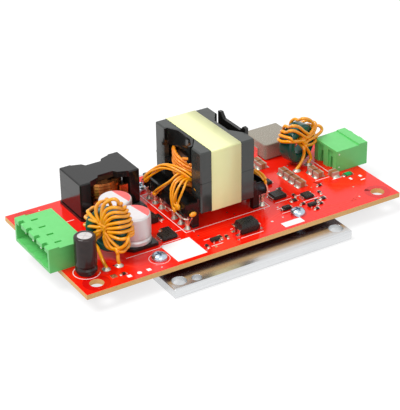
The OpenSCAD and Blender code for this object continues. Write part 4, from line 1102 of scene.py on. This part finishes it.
@dataclass
class Printing(SubAssembly):
    """Printed lines, tracks under the mask and bare tinned pads on the board.

    Lines and tracks are given by their corners, arcs by their middle, radius, first and
    last angle and points, and labels, copper areas and pads as rectangles by their lowest
    and highest x and y. A hole's ring has a radius and a width.
    """

    height: float = 0.03
    track_height: float = 0.018
    pad_height: float = 0.035
    line: float = 0.22
    track: float = 0.35
    track_step: tuple = (0.2, -0.9)
    arc: tuple = ((-49.3, -15.7), 3.9, 60, 330, 40)
    circle: tuple = ((-28, -20.5), 3.1, 0, 352, 40)
    outline: tuple = ((-13.8, 15.6), (-13.8, -11.9), (16.2, -11.9), (16.2, 15.6))
    lines: tuple = (
        ((-11.4, -11.9), (-11.4, -12.8)), ((13.9, -11.9), (13.9, -12.8)), ((-17.4, -9.6), (-13.0, -9.6)),
        ((-22.9, -13.9), (-16.9, -13.9)), ((-36.2, -15.3), (-24.2, -15.3), (-23.2, -14.3)),
        ((-16.6, -2.6), (-16.6, 3.4)), ((-1.8, -23.6), (6.2, -23.6)), ((-1.6, -17.4), (6.0, -17.4)),
        ((16.9, -14.9), (22.0, -14.9)), ((16.9, -17.9), (22.0, -17.9)), ((26.5, -11.0), (32.2, -11.0)),
        ((26.5, -15.3), (32.2, -15.3)), ((18.6, -5.2), (24.8, -5.2)), ((18.6, -11.3), (24.8, -11.3)),
        ((44.6, 9.8), (44.6, -7.8), (46.0, -7.8)), ((29.4, 27.0), (46.4, 27.0)),
        ((30.4, 13.0), (30.4, 9.6)), ((-44.6, 12.0), (-44.6, 13.4), (-38.2, 13.4)),
        ((-44.6, -11.4), (-44.6, -12.6), (-46.6, -12.6)), ((-11.6, -18.6), (-7.6, -18.6)),
        ((-11.6, -22.8), (-7.6, -22.8)), ((42.6, -8.4), (46.2, -8.4)), ((37.4, -6.2), (42.8, -6.2)),
    )
    labels: tuple = (
        (-24.3, -25.0, -14.4, -14.6), (13.0, -25.4, 20.0, -22.7), (51.0, -11.6, 51.9, -10.4),
        (50.0, -13.6, 51.6, -13.1), (47.4, -11.6, 48.2, -10.2),
    )
    tracks: tuple = (
        ((-52, -6), (-44, -9.5), (-36, -21), (-26, -24)), ((-20, -15.8), (-6, -15.8), (-2, -18.4)),
        ((18, -13), (26, -20), (34, -22), (42, -22)), ((30, -9.4), (38, -11.4), (48, -20)),
        ((6.6, -21.5), (12, -18.4), (17.6, -16.6)), ((36.4, -6.6), (44, -12.4), (51, -16.4)),
        ((-12, -14.2), (0, -14.2), (13, -14.2), (17, -11)), ((24, -24), (38, -24), (44, -19.4)),
        ((-6, -24.4), (8, -24.4), (11, -23)), ((36, 4), (46, -3), (52, -4)),
    )
    areas: tuple = (
        (-20.5, 3.4, -15, 11.2), (26.5, -9.2, 30.4, 6.2), (33.4, -9.2, 38.4, 6.2),
        (-37, 3.8, -35.4, 12), (41.8, -9.8, 43.2, -1.2), (2, -16.6, 9, -13.2),
    )
    pads: tuple = (
        (-44.7, -22.8, -42.9, -20.9), (-10.9, -23.9, -10.1, -23.2), (-3.2, -24.2, -2.4, -23.5),
        (0.2, -15.6, 1.0, -14.9), (11.2, -20.6, 11.9, -19.9),
    )
    corner_hole: tuple = (49.6, 22.4)
    hole_ring: tuple = (3.15, 1.9)
    patch_row: tuple = (-40.0, -24.2)
    patch_size: tuple = (1.3, 1.3, 0.02)
    vias: int = 46

    def print_lines(self) -> None:
        """Prints plain outlines, bars and blank labels in white."""
        ink = [stroke(self.outline, self.line, self.height, True)]
        ink += [stroke(points, self.line, self.height) for points in self.lines]
        ink.append(stroke(ring_points(*self.arc), self.line, self.height))
        ink.append(stroke(ring_points(*self.circle), self.line * 0.6, self.height, True))
        ink += [slab(rectangle(row), 0.004, self.height) for row in self.labels]
        self.piece(ink, "printed_lines", INK, "tin", smooth=False)

    def raise_tracks(self) -> None:
        """Raises copper areas, pairs of tracks and the rings of the corner holes under the mask."""
        copper = [stroke(np.array(points) + shift, self.track, self.track_height)
                  for points in self.tracks for shift in ((0, 0), self.track_step)]
        copper += [slab(rectangle(row), 0.002, self.track_height) for row in self.areas]
        self.piece(copper, "mask_tracks", TRACK, "solder_mask", smooth=False)
        (x, y), (radius, width) = self.corner_hole, self.hole_ring
        rings = [stroke(ring_points(spot, radius, 0, 352, 45), width, self.track_height, True)
                 for spot in ((-x, -y), (-x, y), (x, -y), (x, y))]
        self.piece(rings, "mask_rings", DEEP_MASK, "solder_mask", smooth=False)

    def lay_pads(self) -> None:
        """Lays two square patches and a round one, the bare tinned pads and the small vias."""
        x, y = self.patch_row
        patches = [block((x + along, y), self.patch_size, 0.01) for along in (0.0, 6.4)]
        patches.append(slab(ring_points((x + 3.3, y), 0.72, 0, 345, 24), 0.01, 0.03))
        self.piece(patches, "white_patches", INK, "solder_mask", smooth=False)
        tinned = [slab(rectangle(row), 0.004, self.pad_height) for row in self.pads]
        k = np.arange(self.vias)
        across = -50 + 101 * np.modf(k * 0.61803 + 0.2)[0]
        along = -25 + 50 * np.modf(k * 0.3247 + 0.1 * np.sin(k))[0] % 50
        tinned += [slab(ring_points(spot, 0.3, 0, 324, 10), 0.002, 0.024) for spot in zip(across, along)]
        self.piece(tinned, "bare_pads", TIN, "tin", smooth=False)

    def build(self) -> None:
        """Prints the lines and lays the tracks and pads."""
        self.print_lines()
        self.raise_tracks()
        self.lay_pads()


# ---------------------------------------------------------------- studio


@dataclass
class Studio:
    """Floor, lights, world and camera."""

    eye_mm: tuple[float, float, float] = (-215.107, -351.750, 234.150)
    forward: tuple[float, float, float] = (0.45282622, 0.74857697, -0.48433556)
    up: tuple[float, float, float] = (0.26410734, 0.40622343, 0.87477416)
    lens: float = 134.108
    key: float = 7.6
    fill: float = 2.2
    world_light: float = 0.62
    floor_light: float = 0.15
    floor_seen: float = 0.74
    floor_grey: float = 0.3
    floor_reach: float = 4.0
    floor_drop: float = 0.0002

    def camera(self) -> None:
        """Places the camera at its measured place and turn."""
        data = bpy.data.cameras.new("camera")
        data.lens, data.sensor_width = self.lens, 36.0
        data.clip_start, data.clip_end = 0.01, 20.0
        cam = bpy.data.objects.new("camera", data)
        bpy.context.scene.collection.objects.link(cam)
        back = -Vector(self.forward).normalized()
        right = Vector(self.up).cross(back).normalized()
        up = back.cross(right)
        turn = Matrix((right, up, back)).transposed().to_4x4()
        cam.matrix_world = Matrix.Translation(Vector(self.eye_mm) * MM) @ turn
        bpy.context.scene.camera = cam

    def lamp(self, name: str, place: tuple, target: tuple, size: float, power: float) -> None:
        """Adds a soft square lamp that looks at a point."""
        data = bpy.data.lights.new(name, "AREA")
        data.size, data.energy = size, power
        obj = bpy.data.objects.new(name, data)
        obj.location = place
        obj.rotation_euler = (Vector(target) - Vector(place)).to_track_quat("-Z", "Y").to_euler()
        bpy.context.scene.collection.objects.link(obj)

    def world(self) -> None:
        """A pale world: white to the camera and in reflections, softer as light."""
        world = bpy.data.worlds.new("world")
        bpy.context.scene.world = world
        world.use_nodes = True
        bench = NodeBench(world.node_tree)
        bench.fill(world.node_tree.nodes["Background"], {
            "Color": (1, 1, 1, 1), "Strength": bench.seen(self.world_light, 1.0)})

    def floor(self) -> None:
        """A wide white floor just under the plate that keeps the object's shadow."""
        reach = self.floor_reach
        corners_at = np.array([[-1, -1, 0], [1, -1, 0], [1, 1, 0], [-1, 1, 0]]) * reach
        floor = mesh_object("floor", corners_at - [0, 0, self.floor_drop], [[0, 1, 2, 3]], False)
        material = bpy.data.materials.new("floor_paper")
        material.use_nodes = True
        bench = NodeBench(material.node_tree)
        bench.fill(material.node_tree.nodes["Principled BSDF"], {
            "Base Color": (*[self.floor_grey] * 3, 1), "Roughness": 0.9, "Specular IOR Level": 0.0,
            "Emission Color": (1, 1, 1, 1),
            "Emission Strength": bench.seen(self.floor_light, self.floor_seen)})
        floor.data.materials.append(material)

    def build(self) -> None:
        """Sets the whole studio."""
        scene = bpy.context.scene
        scene.view_settings.view_transform = "Standard"
        self.camera()
        self.world()
        self.floor()
        self.lamp("key", (-0.5, 0.1, 0.9), (0, 0, 0), 0.5, self.key)
        self.lamp("fill", (-0.2, -0.9, 0.6), (0, 0, 0), 0.8, self.fill)


def main() -> None:
    """Builds the looks of the part in order and reports each piece."""
    logging.basicConfig(level=logging.INFO, format="%(name)s: %(message)s")
    for old in list(bpy.data.objects):
        bpy.data.objects.remove(old)
    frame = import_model()
    low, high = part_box("circuit_board")
    place = BoardPlace((low.x + high.x) / 2, (low.y + high.y) / 2, high.z)
    box = Paintbox()
    for node, obj in frame["nodes"].items():
        box.paint(obj, NODE_FINISH[node])
    for kind in (PlainBodies, Headers, Transformer, ToroidWinding, OutputToroidWinding, Cans, SmallParts,
                 Printing):
        kind(place, box).build()
    Studio().build()


if __name__ == "__main__":
    main()
